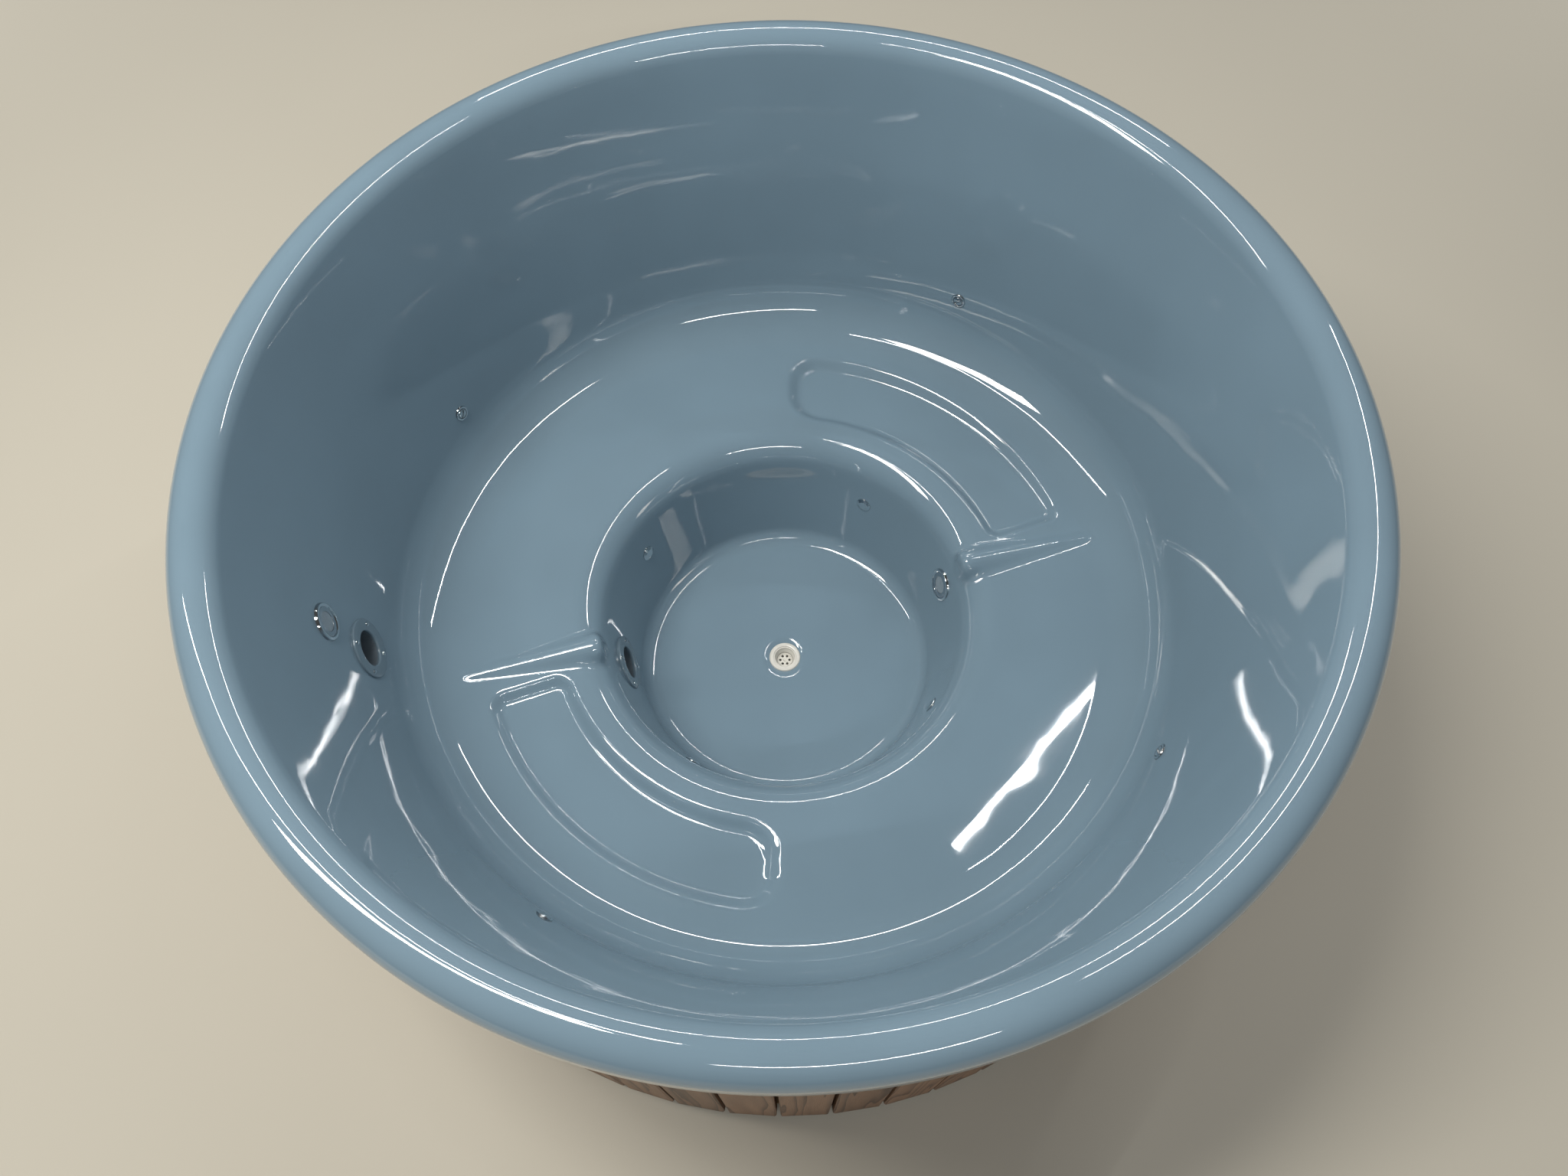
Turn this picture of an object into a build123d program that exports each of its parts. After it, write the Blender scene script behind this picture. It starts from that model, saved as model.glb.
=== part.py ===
from build123d import *
import os
from math import atan2, cos, degrees, hypot, pi, radians, sin, sqrt, tan

# A round hot tub: a laminated liner with a ring bench and a central footwell, clad in upright boards
# on three wooden hoops. Millimetres and degrees. The origin is on the ground under the drain, Z is up,
# and azimuths are counted from +X towards +Y.

os.makedirs("parts", exist_ok=True)

# Liner, overall
RIM_R = 1000.0
HEIGHT = 1012.0
LAMINATE = 7.0
LIP_ROUND = 44.0
LIP_FLAT_COUNT = 3
HEM_HIGH = 72.0
HEM_Z = HEIGHT - HEM_HIGH
BACK_SIDES = 36
SEAT = 0.3
CUT_PAST = 1.0

# Liner, bathing surface: the corners are where the straight runs would meet before rounding
BENCH_R = RIM_R - 240.0
BENCH_Z = 369.0
BACK_LEAN = 14.0
BENCH_ROUND = 130.0
BENCH_FLAT_COUNT = 4
WELL_R = BENCH_R - 372.0
WELL_LEAN = 14.5
WELL_EDGE_ROUND = 70.0
WELL_EDGE_FLAT_COUNT = 3
FLOOR_Z = 90.0
FLOOR_ROUND = 40.0
FLOOR_FLAT_COUNT = 2

# Ribs that part the bench, and the two sunken seats
RIB_AZIMUTH = 13.0
RIB_COUNT = 2
RIB_NOSE_R = WELL_R - 4.0
RIB_POINT_R = BENCH_R - 128.0
RIB_CREST = 24.0
RIB_HALF_WIDTH = 31.0
RIB_POINT_ROUND = 4.0
RIB_NOSE_ROUND = 16.0
RIB_NOSE_FLAT_COUNT = 3
SEAT_INNER_R = WELL_R + 76.0
SEAT_OUTER_R = BENCH_R - 124.0
SEAT_START = 5.0
SEAT_END = 75.0
SEAT_DEPTH = 17.0
SEAT_SLOPE = 45.0
SEAT_END_ROUND = 70.0
SEAT_START_ROUND = 36.0

# Wooden cladding and frame
BOARD_COUNT = 58
BOARD_GAP_AZIMUTH = -91.6
LIP_OVERHANG = 35.0
BOARD_FACE_R = RIM_R - LIP_OVERHANG
BOARD_THICK = 20.0
BOARD_GAP = 8.5
BOARD_CHAMFER = 3.0
BOARD_FOOT_Z = 15.0
HOOP_THICK = 18.0
HOOP_BASE_DEPTH = 75.0
HOOP_MIDDLE_DEPTH = 55.0
HOOP_MIDDLE_Z = 440.0
HOOP_UPPER_DEPTH = 29.0
HOOP_UPPER_Z = HEM_Z - 10.0
HOOP_INNER_SIDES = 24
STUD_COUNT = 8
STUD_AZIMUTH = 22.5
STUD_WIDE = 45.0
STUD_DEEP = 30.0
STUD_INSET = 2.0
PAD_HIGH = 12.0
PAD_LONG = 90.0
JOIST_HIGH = 58.0
JOIST_WIDE = 45.0
JOIST_OFFSETS = (-540.0, -180.0, 180.0, 540.0)
JOIST_INSET = 14.0
POST_WIDE = 45.0
POST_OFFSET = 150.0
FLOOR_BOARD_ACROSS = 520.0
FLOOR_BOARD_BORE_R = 45.0

# Drain and its outside tap
DRAIN_AZIMUTH = 135.0
DRAIN_LIP_R = 35.0
DRAIN_LIP_PROUD = 2.5
DRAIN_CUP_R = 26.0
DRAIN_TAIL_R = 23.0
DRAIN_THROAT_R = 16.0
DRAIN_LEDGE = 4.0
DRAIN_NUT_ACROSS = 62.0
DRAIN_NUT_THICK = 9.0
STRAINER_R = 18.0
STRAINER_THICK = 3.0
STRAINER_DEEP = 16.0
STRAINER_HOLE_COUNT = 6
STRAINER_HOLE_R = 2.8
STRAINER_HOLE_CIRCLE_R = 10.5
DRAIN_PIPE_R = 20.0
DRAIN_PIPE_WALL = 2.5
DRAIN_PIPE_Z = 28.0
DRAIN_BEND = 16.0
TAP_R = BOARD_FACE_R + 53.0
TAP_LONG = 58.0
TAP_ROUND_R = 26.0
TAP_NECK_R = 12.0
TAP_NECK_HIGH = 34.0
TAP_STEM_R = 5.0
TAP_STEM_DEEP = 16.0
TAP_LEVER_LONG = 84.0
TAP_LEVER_WIDE = 18.0
TAP_LEVER_THICK = 6.0
TAP_HUB_ACROSS = 22.0
TAP_HUB_THICK = 9.0
DRAIN_OUTLET_LONG = 40.0

# Heater connections
HEATER_PIPE_R = 37.5
HEATER_PIPE_WALL = 3.0
HEATER_COLLAR_R = 47.0
HEATER_COLLAR_THICK = 8.0
HEATER_COLLAR_SIDES = 8
HEATER_SPIGOT_LONG = 34.0
HEATER_NECK = 60.0
UPPER_FLANGE_AZIMUTH = 192.2
UPPER_FLANGE_Z = 558.0
LOWER_FLANGE_AZIMUTH = 190.4
LOWER_FLANGE_Z = 218.0
FLANGE_R = 59.0
FLANGE_UPPER_THICK = 6.0
FLANGE_LOWER_THICK = 8.0
FLANGE_BEVEL = 2.0
BACK_RING_R = 54.0
BACK_RING_THICK = 10.0
BACK_RING_SIDES = 12

# Underwater lights
LIGHT_R = 37.0
LIGHT_PROUD = 6.0
LIGHT_FRONT_R = 34.0
LIGHT_WINDOW_R = 28.0
LIGHT_LENS_SUNK = 3.0
LIGHT_HOUSING_R = 30.0
LIGHT_HOUSING_SIDES = 16
LIGHT_DEEP = 48.0
LIGHT_NUT_ACROSS = 78.0
LIGHT_NUT_THICK = 9.0
BACK_LIGHT_AZIMUTH = 192.2
BACK_LIGHT_Z = 695.0
WELL_LIGHT_AZIMUTH = 15.3
WELL_LIGHT_Z = 258.0

# Air jets
WALL_JET_Z = 500.0
WALL_JET_AZIMUTHS = (59.6, 149.5, 237.1, 331.3)
WELL_JET_Z = 250.0
WELL_JET_AZIMUTHS = (58.8, 147.9, 237.3, 329.1)
JET_SEAT = 0.6
JET_R = 17.0
JET_FRONT_R = 15.0
JET_RING_HIGH = 3.4
JET_BORE_R = 11.4
JET_BORE_DEEP = 6.0
JET_TAIL_R = 12.7
JET_TAIL_SIDES = 12
JET_TAIL_LONG = 50.0
JET_NUT_ACROSS = 36.0
JET_NUT_THICK = 9.0
NOZZLE_SIDES = 16
NOZZLE_CLEARANCE = 0.5
NOZZLE_SPIGOT_R = 6.35
NOZZLE_HIGH = 4.6
NOZZLE_SLOT_WIDE = 4.0
NOZZLE_SLOT_LONG = 17.0
NOZZLE_SLOT_DEEP = 3.2
NOZZLE_SLOT_TURN = 45.0
CAP_HIGH = 4.5
CAP_FRONT_R = 11.0
SHAFT_CLEARANCE = 0.05
PIPE_CLEARANCE = 3.0
PASSAGE_SIDES = 12

# Worked out from the above
FLOOR_BOARD_FOOT = PAD_HIGH + JOIST_HIGH
BOARD_INNER = BOARD_FACE_R - BOARD_THICK
BOARD_PITCH = 360.0 / BOARD_COUNT
DEEP_BELOW = 400.0


def polar(radius, azimuth, height=0.0):
    return Vector(radius * cos(radians(azimuth)), radius * sin(radians(azimuth)), height)


def run(radius, height, heading):
    """A straight run of the half section: a point on it and the way it heads, towards the drain."""
    return (radius, height, radians(heading))


def sunk(line, depth):
    """The same run, moved square to itself into the laminate."""
    radius, height, heading = line
    return (radius - depth * sin(heading), height + depth * cos(heading), heading)


def meet(first, second):
    """Where two runs cross."""
    ax, az, a = first
    bx, bz, b = second
    along = ((bx - ax) * sin(b) - (bz - az) * cos(b)) / sin(b - a)
    return (ax + along * cos(a), az + along * sin(a))


SKIRT = run(RIM_R, HEM_Z, 90)
LIP_TOP = run(RIM_R, HEIGHT, 180)
BACKREST = run(BENCH_R, BENCH_Z, 270 - BACK_LEAN)
BENCH = run(BENCH_R, BENCH_Z, 180)
WELL_WALL = run(WELL_R, BENCH_Z, 270 - WELL_LEAN)
FLOOR = run(0, FLOOR_Z, 180)


def rounded(before, corner, after, radius, flats):
    """Points of a rounding at a corner, laid as short flats between its two tangent points."""
    ux, uz = before[0] - corner[0], before[1] - corner[1]
    vx, vz = after[0] - corner[0], after[1] - corner[1]
    u, v = hypot(ux, uz), hypot(vx, vz)
    ux, uz, vx, vz = ux / u, uz / u, vx / v, vz / v
    half = atan2(abs(ux * vz - uz * vx), ux * vx + uz * vz) / 2
    mx, mz = (ux + vx) / (2 * cos(half)), (uz + vz) / (2 * cos(half))
    cx, cz = corner[0] + mx * radius / sin(half), corner[1] + mz * radius / sin(half)
    first = atan2(corner[1] + uz * radius / tan(half) - cz, corner[0] + ux * radius / tan(half) - cx)
    last = atan2(corner[1] + vz * radius / tan(half) - cz, corner[0] + vx * radius / tan(half) - cx)
    turn = (last - first + 3 * pi) % (2 * pi) - pi
    steps = [first + turn * i / flats for i in range(flats + 1)]
    return [(cx + radius * cos(a), cz + radius * sin(a)) for a in steps]


def profile(depth, coarser=0):
    """The bathing surface from the lip's outer side to the drain, sunk square to itself by depth."""
    runs = [sunk(line, depth) for line in (SKIRT, LIP_TOP, BACKREST, BENCH, WELL_WALL, FLOOR)]
    corners = [meet(a, b) for a, b in zip(runs[:-1], runs[1:])]
    ends = [(RIM_R - depth, HEM_Z), *corners, (0, FLOOR_Z - depth)]
    lip = (LIP_ROUND - depth, LIP_FLAT_COUNT - coarser)
    roundings = [
        lip,
        lip,
        (BENCH_ROUND + depth, BENCH_FLAT_COUNT - 2 * coarser),
        (WELL_EDGE_ROUND - depth, WELL_EDGE_FLAT_COUNT - coarser),
        (FLOOR_ROUND + depth, FLOOR_FLAT_COUNT),
    ]
    points = [ends[0]]
    for before, corner, after, (radius, flats) in zip(ends, ends[1:], ends[2:], roundings):
        points += rounded(before, corner, after, radius, flats)
    return points + [ends[-1]]


def joined(points):
    """The same points with near neighbours merged, such as the two roundings that meet on the lip."""
    kept = [points[0]]
    for point in points[1:]:
        if hypot(point[0] - kept[-1][0], point[1] - kept[-1][1]) > 3:
            kept.append(point)
    return kept


def under_surface(depth):
    """Everything under the bathing surface, out to the lip's skirt, as one turned solid."""
    points = joined(profile(depth))
    outline = [(points[0][0], -DEEP_BELOW), *points, (0, -DEEP_BELOW)]
    return revolve(make_face(Polyline(*[(x, 0, z) for x, z in outline], close=True)), Axis.Z)


def faceted(points, outside):
    """Solid of flat facets between level polygons; outside tells whether they enclose the circle."""
    grow = 1 / cos(pi / BACK_SIDES) if outside else 1
    step = 360 / BACK_SIDES
    rings = [[polar(r * grow, i * step, z) for i in range(BACK_SIDES)] for r, z in points]
    faces = [Face(Wire.make_polygon(rings[0])), Face(Wire.make_polygon(rings[-1]))]
    for low, high in zip(rings, rings[1:]):
        for i in range(BACK_SIDES):
            corners = [low[i - 1], low[i], high[i], high[i - 1]]
            faces.append(Face(Wire.make_polygon(corners)))
    return Part() + Solid(Shell(faces))


def behind_laminate(depth):
    """The space behind the laminate, sunk by depth: the hidden back is laid up in flat facets."""
    points = joined(profile(depth, coarser=1))
    crest = max(points, key=lambda p: p[1])
    top = points.index(crest)
    level = [p for p in points if abs(p[1] - (BENCH_Z - depth)) < 0.01]
    ledge, edge = points.index(level[0]), points.index(level[-1])
    outer = [(points[0][0], -DEEP_BELOW)] + points[: top + 1]
    space = faceted(outer, outside=False)
    bowl = [(crest[0], crest[1] + CUT_PAST)] + points[top : ledge + 1]
    well = [(points[edge][0], points[edge][1] + CUT_PAST)] + points[edge:-1]
    return space - faceted(bowl, outside=True) - faceted(well, outside=True)


def rib():
    """A tapering round-nosed rib along +X: a cone that dips into the bench."""
    half, crest = RIB_HALF_WIDTH, RIB_CREST
    nose_round = (half * half + crest * crest) / (2 * crest)
    nose = Vector(RIB_NOSE_R, 0, BENCH_Z + crest - nose_round)
    point = Vector(RIB_POINT_R, 0, BENCH_Z - RIB_POINT_ROUND)
    length = (point - nose).length
    axis, tip, corner = (0, 0), (RIB_POINT_ROUND, length), (nose_round, 0)
    front = rounded(axis, corner, tip, RIB_NOSE_ROUND, RIB_NOSE_FLAT_COUNT)
    outline = [axis, *front, tip, (0, length)]
    solid = revolve(make_face(Polyline(*[(x, 0, z) for x, z in outline], close=True)), Axis.Z)
    return Plane(nose, x_dir=(0, 1, 0), z_dir=point - nose).location * solid


def seat_plan(inset, corners):
    """Outline of a sunken seat, moved inwards by inset: a ring sector, its corners rounded if asked."""
    inner, outer = SEAT_INNER_R + inset, SEAT_OUTER_R - inset
    turn = degrees(2 * inset / (SEAT_INNER_R + SEAT_OUTER_R))
    a, b = RIB_AZIMUTH + SEAT_START + turn, RIB_AZIMUTH + SEAT_END - turn
    middle = (a + b) / 2
    edges = [
        ThreePointArc(polar(outer, a), polar(outer, middle), polar(outer, b)).edge(),
        Line(polar(outer, b), polar(inner, b)).edge(),
        ThreePointArc(polar(inner, b), polar(inner, middle), polar(inner, a)).edge(),
        Line(polar(inner, a), polar(outer, a)).edge(),
    ]
    plan = make_face(edges)
    if corners:
        far = [v for v in plan.vertices() if abs(degrees(atan2(v.Y, v.X)) - b) < 0.5]
        plan = fillet(far, SEAT_END_ROUND - inset)
        near = [v for v in plan.vertices() if abs(degrees(atan2(v.Y, v.X)) - a) < 0.5]
        plan = fillet(near, SEAT_START_ROUND - inset)
    return plan


def seat(depth, corners=True):
    """A sunken seat with sloping sides, sunk square to its faces by depth."""
    slope = radians(SEAT_SLOPE)
    top, floor = BENCH_Z + CUT_PAST, BENCH_Z - SEAT_DEPTH - depth
    insets = [(top - z) * tan(slope) - depth / cos(slope) for z in (top, floor)]
    plans = [Pos(0, 0, z) * seat_plan(i, corners) for z, i in zip((top, floor), insets)]
    return loft(plans, ruled=True)


def around(shape):
    """One copy of a shape for each rib."""
    return [Rot(0, 0, i * 360 / RIB_COUNT) * shape for i in range(RIB_COUNT)]


def wall_spot(azimuth, height, wall):
    """Place on a leaning wall: Z points into the bath and Y up the wall."""
    radius, base, heading = wall
    lean = 3 * 90 - degrees(heading)
    at = radius + (height - base) * tan(radians(lean))
    c, s = cos(radians(lean)), sin(radians(lean))
    ca, sa = cos(radians(azimuth)), sin(radians(azimuth))
    return Plane(polar(at, azimuth, height), x_dir=(sa, -ca, 0), z_dir=(-c * ca, -c * sa, s)).location


def disc(radius, low, high):
    return Pos(0, 0, (low + high) / 2) * Cylinder(radius, high - low)


def ring(outer, inner, low, high):
    return disc(outer, low, high) - disc(inner, low - CUT_PAST, high + CUT_PAST)


def prism(radius, sides, low, high):
    """Upright prism whose flats lie at the given radius."""
    return Pos(0, 0, low) * extrude(RegularPolygon(radius, sides, major_radius=False), high - low)


def bevelled(radius, front_r, low, high):
    """Disc whose rim slopes from its foot to a smaller front."""
    return Pos(0, 0, (low + high) / 2) * Cone(radius, front_r, high - low)


def facet_rise(radius):
    """How far the corners of the faceted back stand off the laminate's least thickness."""
    return radius * (1 / cos(pi / BACK_SIDES) - 1)


def back_of(spot):
    """Depth behind the bathing surface at which a flat nut clears the back of the laminate."""
    at = spot.position
    return LAMINATE + facet_rise(hypot(at.X, at.Y)) + SEAT


def save(name, *solids):
    parts = [s for solid in solids for s in solid.solids()]
    shape = parts[0] if len(parts) == 1 else Compound(children=parts)
    shape.label = name
    export_step(shape, f"parts/{name}.step")


upper_flange_spot = wall_spot(UPPER_FLANGE_AZIMUTH, UPPER_FLANGE_Z, BACKREST)
lower_flange_spot = wall_spot(LOWER_FLANGE_AZIMUTH, LOWER_FLANGE_Z, WELL_WALL)
flange_spots = [upper_flange_spot, lower_flange_spot]
light_spots = [
    wall_spot(BACK_LIGHT_AZIMUTH, BACK_LIGHT_Z, BACKREST),
    wall_spot(WELL_LIGHT_AZIMUTH, WELL_LIGHT_Z, WELL_WALL),
]
wall_jet_spots = [wall_spot(a, WALL_JET_Z, BACKREST) for a in WALL_JET_AZIMUTHS]
well_jet_spots = [wall_spot(a, WELL_JET_Z, WELL_WALL) for a in WELL_JET_AZIMUTHS]
jet_spots = wall_jet_spots + well_jet_spots
drain_spot = Pos(0, 0, FLOOR_Z)
wall_form = under_surface(-SEAT)
back_space = behind_laminate(LAMINATE + SEAT)


# Liner
def tub_liner():
    """Laminated shell: ribs raised, seats sunk, and the holes that the fittings hide."""
    form = under_surface(0) + around(Rot(0, 0, RIB_AZIMUTH) * rib())
    form -= around(seat(0))
    back = behind_laminate(LAMINATE) - around(seat(LAMINATE, corners=False))
    shell = form - back
    shell -= ring(RIM_R + LAMINATE, RIM_R - 2 * LAMINATE, -DEEP_BELOW - CUT_PAST, HEM_Z)
    far, near = -4 * LAMINATE, 3 * LAMINATE
    pipe_hole = prism(HEATER_PIPE_R + SEAT, LIGHT_HOUSING_SIDES, far, near)
    lamp_hole = prism(LIGHT_HOUSING_R + SEAT, LIGHT_HOUSING_SIDES, far, near)
    jet_hole = prism(JET_TAIL_R + SEAT, JET_TAIL_SIDES, far, near)
    holes = [drain_spot * disc(DRAIN_TAIL_R + SEAT, far, near)]
    holes += [spot * pipe_hole for spot in flange_spots]
    holes += [spot * lamp_hole for spot in light_spots]
    holes += [spot * jet_hole for spot in jet_spots]
    return shell - holes


# Cladding and frame
def pipe_passages():
    """Cutters where pipes pass out through the boards, each with its azimuth."""
    reach = 2 * BOARD_THICK + STUD_DEEP
    cutters = []
    for azimuth, height, radius in (
        (UPPER_FLANGE_AZIMUTH, knee_height(UPPER_FLANGE_Z, BACK_LEAN), HEATER_PIPE_R),
        (LOWER_FLANGE_AZIMUTH, knee_height(LOWER_FLANGE_Z, WELL_LEAN), HEATER_PIPE_R),
        (DRAIN_AZIMUTH, DRAIN_PIPE_Z, DRAIN_PIPE_R),
    ):
        cutter = Rot(0, 90, 0) * prism(radius + PIPE_CLEARANCE, PASSAGE_SIDES, -reach, reach)
        cutters.append((azimuth, Rot(0, 0, azimuth) * Pos(BOARD_INNER, 0, height) * cutter))
    return cutters


def cladding_boards():
    """Upright boards, each lying flat on its own facet of the hoops, with open gaps between them."""
    half_pitch = radians(BOARD_PITCH / 2)
    width = 2 * BOARD_FACE_R * tan(half_pitch) - BOARD_GAP
    top = min(under_lip(BOARD_INNER), under_lip(hypot(BOARD_FACE_R, width / 2))) - SEAT
    blank = Pos(BOARD_FACE_R - BOARD_THICK / 2, 0, (top + BOARD_FOOT_Z) / 2) * Box(
        BOARD_THICK, width, top - BOARD_FOOT_Z
    )
    front = blank.edges().filter_by(Axis.Z).sort_by(Axis.X)[-2:]
    board = chamfer(front, BOARD_CHAMFER)
    boards = []
    for i in range(BOARD_COUNT):
        azimuth = BOARD_GAP_AZIMUTH + BOARD_PITCH * (i + 0.5)
        placed = Rot(0, 0, azimuth) * board
        for passage_azimuth, cutter in pipe_passages():
            apart = (azimuth - passage_azimuth + 180) % 360 - 180
            if abs(apart) < 1.5 * BOARD_PITCH:
                placed -= cutter
        boards.append(placed)
    return boards


def under_lip(radius):
    """Height of the back of the lip over a radius, where its facets hang lowest."""
    points = joined(profile(LAMINATE, coarser=1))
    top = points.index(max(points, key=lambda p: p[1]))
    narrow = cos(pi / BACK_SIDES)
    heights = []
    for at, side in ((radius / narrow, points[: top + 1]), (radius * narrow, points[top:])):
        for (r1, z1), (r2, z2) in zip(side, side[1:]):
            if min(r1, r2) <= at < max(r1, r2):
                heights.append(z1 + (z2 - z1) * (at - r1) / (r2 - r1))
    return min(heights)


def hoop(foot, depth):
    """A flat hoop with one facet for each board."""
    outside = RegularPolygon(BOARD_INNER, BOARD_COUNT, major_radius=False)
    inside = RegularPolygon(BOARD_INNER - depth, HOOP_INNER_SIDES, major_radius=False)
    turn = BOARD_GAP_AZIMUTH + BOARD_PITCH / 2 - polygon_turn(outside)
    return Pos(0, 0, foot) * extrude(Rot(0, 0, turn) * outside - inside, HOOP_THICK)


def polygon_turn(shape):
    """Azimuth of the middle of a regular polygon's first side."""
    centre = shape.edges()[0].center()
    return degrees(atan2(centre.Y, centre.X))


def studs(foot, top):
    """Upright timbers between two hoops."""
    radius = BOARD_INNER - STUD_INSET - STUD_DEEP / 2
    timber = Pos(radius, 0, (foot + top) / 2) * Box(STUD_DEEP, STUD_WIDE, top - foot)
    step = 360 / STUD_COUNT
    return [Rot(0, 0, STUD_AZIMUTH + i * step) * timber for i in range(STUD_COUNT)]


def joist_half(offset):
    edge = abs(offset) + JOIST_WIDE / 2
    return sqrt((BOARD_INNER - JOIST_INSET) ** 2 - edge**2)


def joist(offset):
    """A base timber beside the drain pipe, stopping short of the boards."""
    blank = Box(2 * joist_half(offset), JOIST_WIDE, JOIST_HIGH)
    return Rot(0, 0, DRAIN_AZIMUTH) * Pos(0, offset, PAD_HIGH + JOIST_HIGH / 2) * blank


def foot_pads():
    """Three rubber pads under each joist."""
    pads = []
    for offset in JOIST_OFFSETS:
        reach = joist_half(offset) - PAD_LONG / 2
        for along in (-reach, 0, reach):
            pad = Pos(along, offset, PAD_HIGH / 2) * Box(PAD_LONG, JOIST_WIDE, PAD_HIGH)
            pads.append(Rot(0, 0, DRAIN_AZIMUTH) * pad)
    return pads


def bench_post(along, offset):
    """A timber from a joist up to the underside of a sunken seat."""
    foot = PAD_HIGH + JOIST_HIGH
    top = BENCH_Z - SEAT_DEPTH - LAMINATE - SEAT
    timber = Pos(along, offset, (foot + top) / 2) * Box(POST_WIDE, POST_WIDE, top - foot)
    return Rot(0, 0, DRAIN_AZIMUTH) * timber


def floor_board():
    """Eight-sided plywood board between the joists and the footwell."""
    top = FLOOR_Z - LAMINATE - SEAT
    blank = prism(FLOOR_BOARD_ACROSS / 2, 8, FLOOR_BOARD_FOOT, top)
    blank -= prism(FLOOR_BOARD_BORE_R, 8, FLOOR_BOARD_FOOT - CUT_PAST, top + CUT_PAST)
    return Rot(0, 0, DRAIN_AZIMUTH) * blank


# Drain
def tube(path, radius, wall):
    """A mitred pipe of the given radius along a path, with its bore."""
    start = Plane(path @ 0, z_dir=path % 0)
    outside = sweep(start * Circle(radius), path, transition=Transition.RIGHT)
    return outside - sweep(start * Circle(radius - wall), path, transition=Transition.RIGHT)


def drain_waste():
    """Lip, conical cup, ledge for the strainer and the tail through the floor, turned as one piece."""
    ledge = -STRAINER_DEEP - STRAINER_THICK
    outline = [
        (DRAIN_CUP_R, DRAIN_LIP_PROUD),
        (DRAIN_LIP_R - DRAIN_LIP_PROUD, DRAIN_LIP_PROUD),
        (DRAIN_LIP_R, SEAT),
        (DRAIN_TAIL_R, SEAT),
        (DRAIN_TAIL_R, ledge - DRAIN_LEDGE),
        (DRAIN_THROAT_R, ledge - DRAIN_LEDGE),
        (DRAIN_THROAT_R, ledge),
        (STRAINER_R + SEAT, ledge),
    ]
    return revolve(make_face(Polyline(*[(x, 0, z) for x, z in outline], close=True)), Axis.Z)


def drain_run():
    """The waste, its elbow, the pipe under the floor, the tap's body and the hose tail, bonded into one."""
    top = FLOOR_Z - STRAINER_DEEP - STRAINER_THICK - DRAIN_LEDGE
    tap = TAP_R - TAP_LONG / 2
    path = Polyline(
        (0, 0, top), (0, 0, DRAIN_PIPE_Z + DRAIN_BEND), (DRAIN_BEND, 0, DRAIN_PIPE_Z), (tap, 0, DRAIN_PIPE_Z)
    )
    bore = DRAIN_PIPE_R - DRAIN_PIPE_WALL
    solid = drain_spot * drain_waste() + tube(path, DRAIN_PIPE_R, DRAIN_PIPE_WALL)
    body = Rot(0, 90, 0) * disc(TAP_ROUND_R, -TAP_LONG / 2, TAP_LONG / 2)
    body += prism(TAP_NECK_R, PASSAGE_SIDES, 0, TAP_NECK_HIGH)
    body -= disc(TAP_STEM_R + SHAFT_CLEARANCE, TAP_NECK_HIGH - TAP_STEM_DEEP, TAP_NECK_HIGH + CUT_PAST)
    body += Rot(0, 90, 0) * ring(DRAIN_PIPE_R, bore, TAP_LONG / 2, TAP_LONG / 2 + DRAIN_OUTLET_LONG)
    return Rot(0, 0, DRAIN_AZIMUTH) * (solid + Pos(TAP_R, 0, DRAIN_PIPE_Z) * body)


def drain_strainer():
    """Strainer with a ring of holes, resting on the ledge of the waste."""
    high = -STRAINER_DEEP
    low = high - STRAINER_THICK
    plate = prism(STRAINER_R * cos(pi / 24), 24, low + SEAT, high)
    for i in range(STRAINER_HOLE_COUNT):
        hole = prism(STRAINER_HOLE_R, 8, low - CUT_PAST, high + CUT_PAST)
        plate -= Rot(0, 0, i * 360 / STRAINER_HOLE_COUNT) * Pos(STRAINER_HOLE_CIRCLE_R, 0, 0) * hole
    return drain_spot * plate


def drain_locknut():
    high = -LAMINATE - SEAT
    nut = prism(DRAIN_NUT_ACROSS / 2, 6, high - DRAIN_NUT_THICK, high)
    nut -= prism(DRAIN_TAIL_R + SEAT, JET_TAIL_SIDES, high - 2 * DRAIN_NUT_THICK, high + CUT_PAST)
    return drain_spot * nut


def tap_lever():
    """Lever on its stem; it lies along the pipe when the tap is open."""
    low = TAP_NECK_HIGH + SEAT
    width, thick = TAP_LEVER_WIDE, TAP_LEVER_THICK
    blade = Pos(TAP_LEVER_LONG / 2, 0, low + thick / 2) * Box(TAP_LEVER_LONG, width, thick)
    blade = chamfer(blade.edges().filter_by(Axis.Z).sort_by(Axis.X)[-2:], width / 3)
    hub = prism(TAP_HUB_ACROSS / 2, 6, low, low + TAP_HUB_THICK)
    stem = disc(TAP_STEM_R, TAP_NECK_HIGH - TAP_STEM_DEEP + SEAT, low)
    return Rot(0, 0, DRAIN_AZIMUTH) * Pos(TAP_R, 0, DRAIN_PIPE_Z) * (blade + hub + stem)


# Heater connections
def knee_height(height, lean):
    """Height at which a pipe that leaves the wall squarely turns level."""
    return height - HEATER_NECK * sin(radians(lean))


def heater_flange(spot, thick):
    """Round plate with bevelled edges; its back follows the wall and its bore is the pipe's."""
    bore = HEATER_PIPE_R - HEATER_PIPE_WALL
    plate = disc(FLANGE_R, -thick, thick - FLANGE_BEVEL)
    plate += bevelled(FLANGE_R, FLANGE_R - FLANGE_BEVEL, thick - FLANGE_BEVEL, thick)
    plate -= disc(bore, -thick - CUT_PAST, thick + CUT_PAST)
    plate -= bevelled(bore, bore + FLANGE_BEVEL, thick - FLANGE_BEVEL, thick)
    return spot * plate - wall_form


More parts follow.
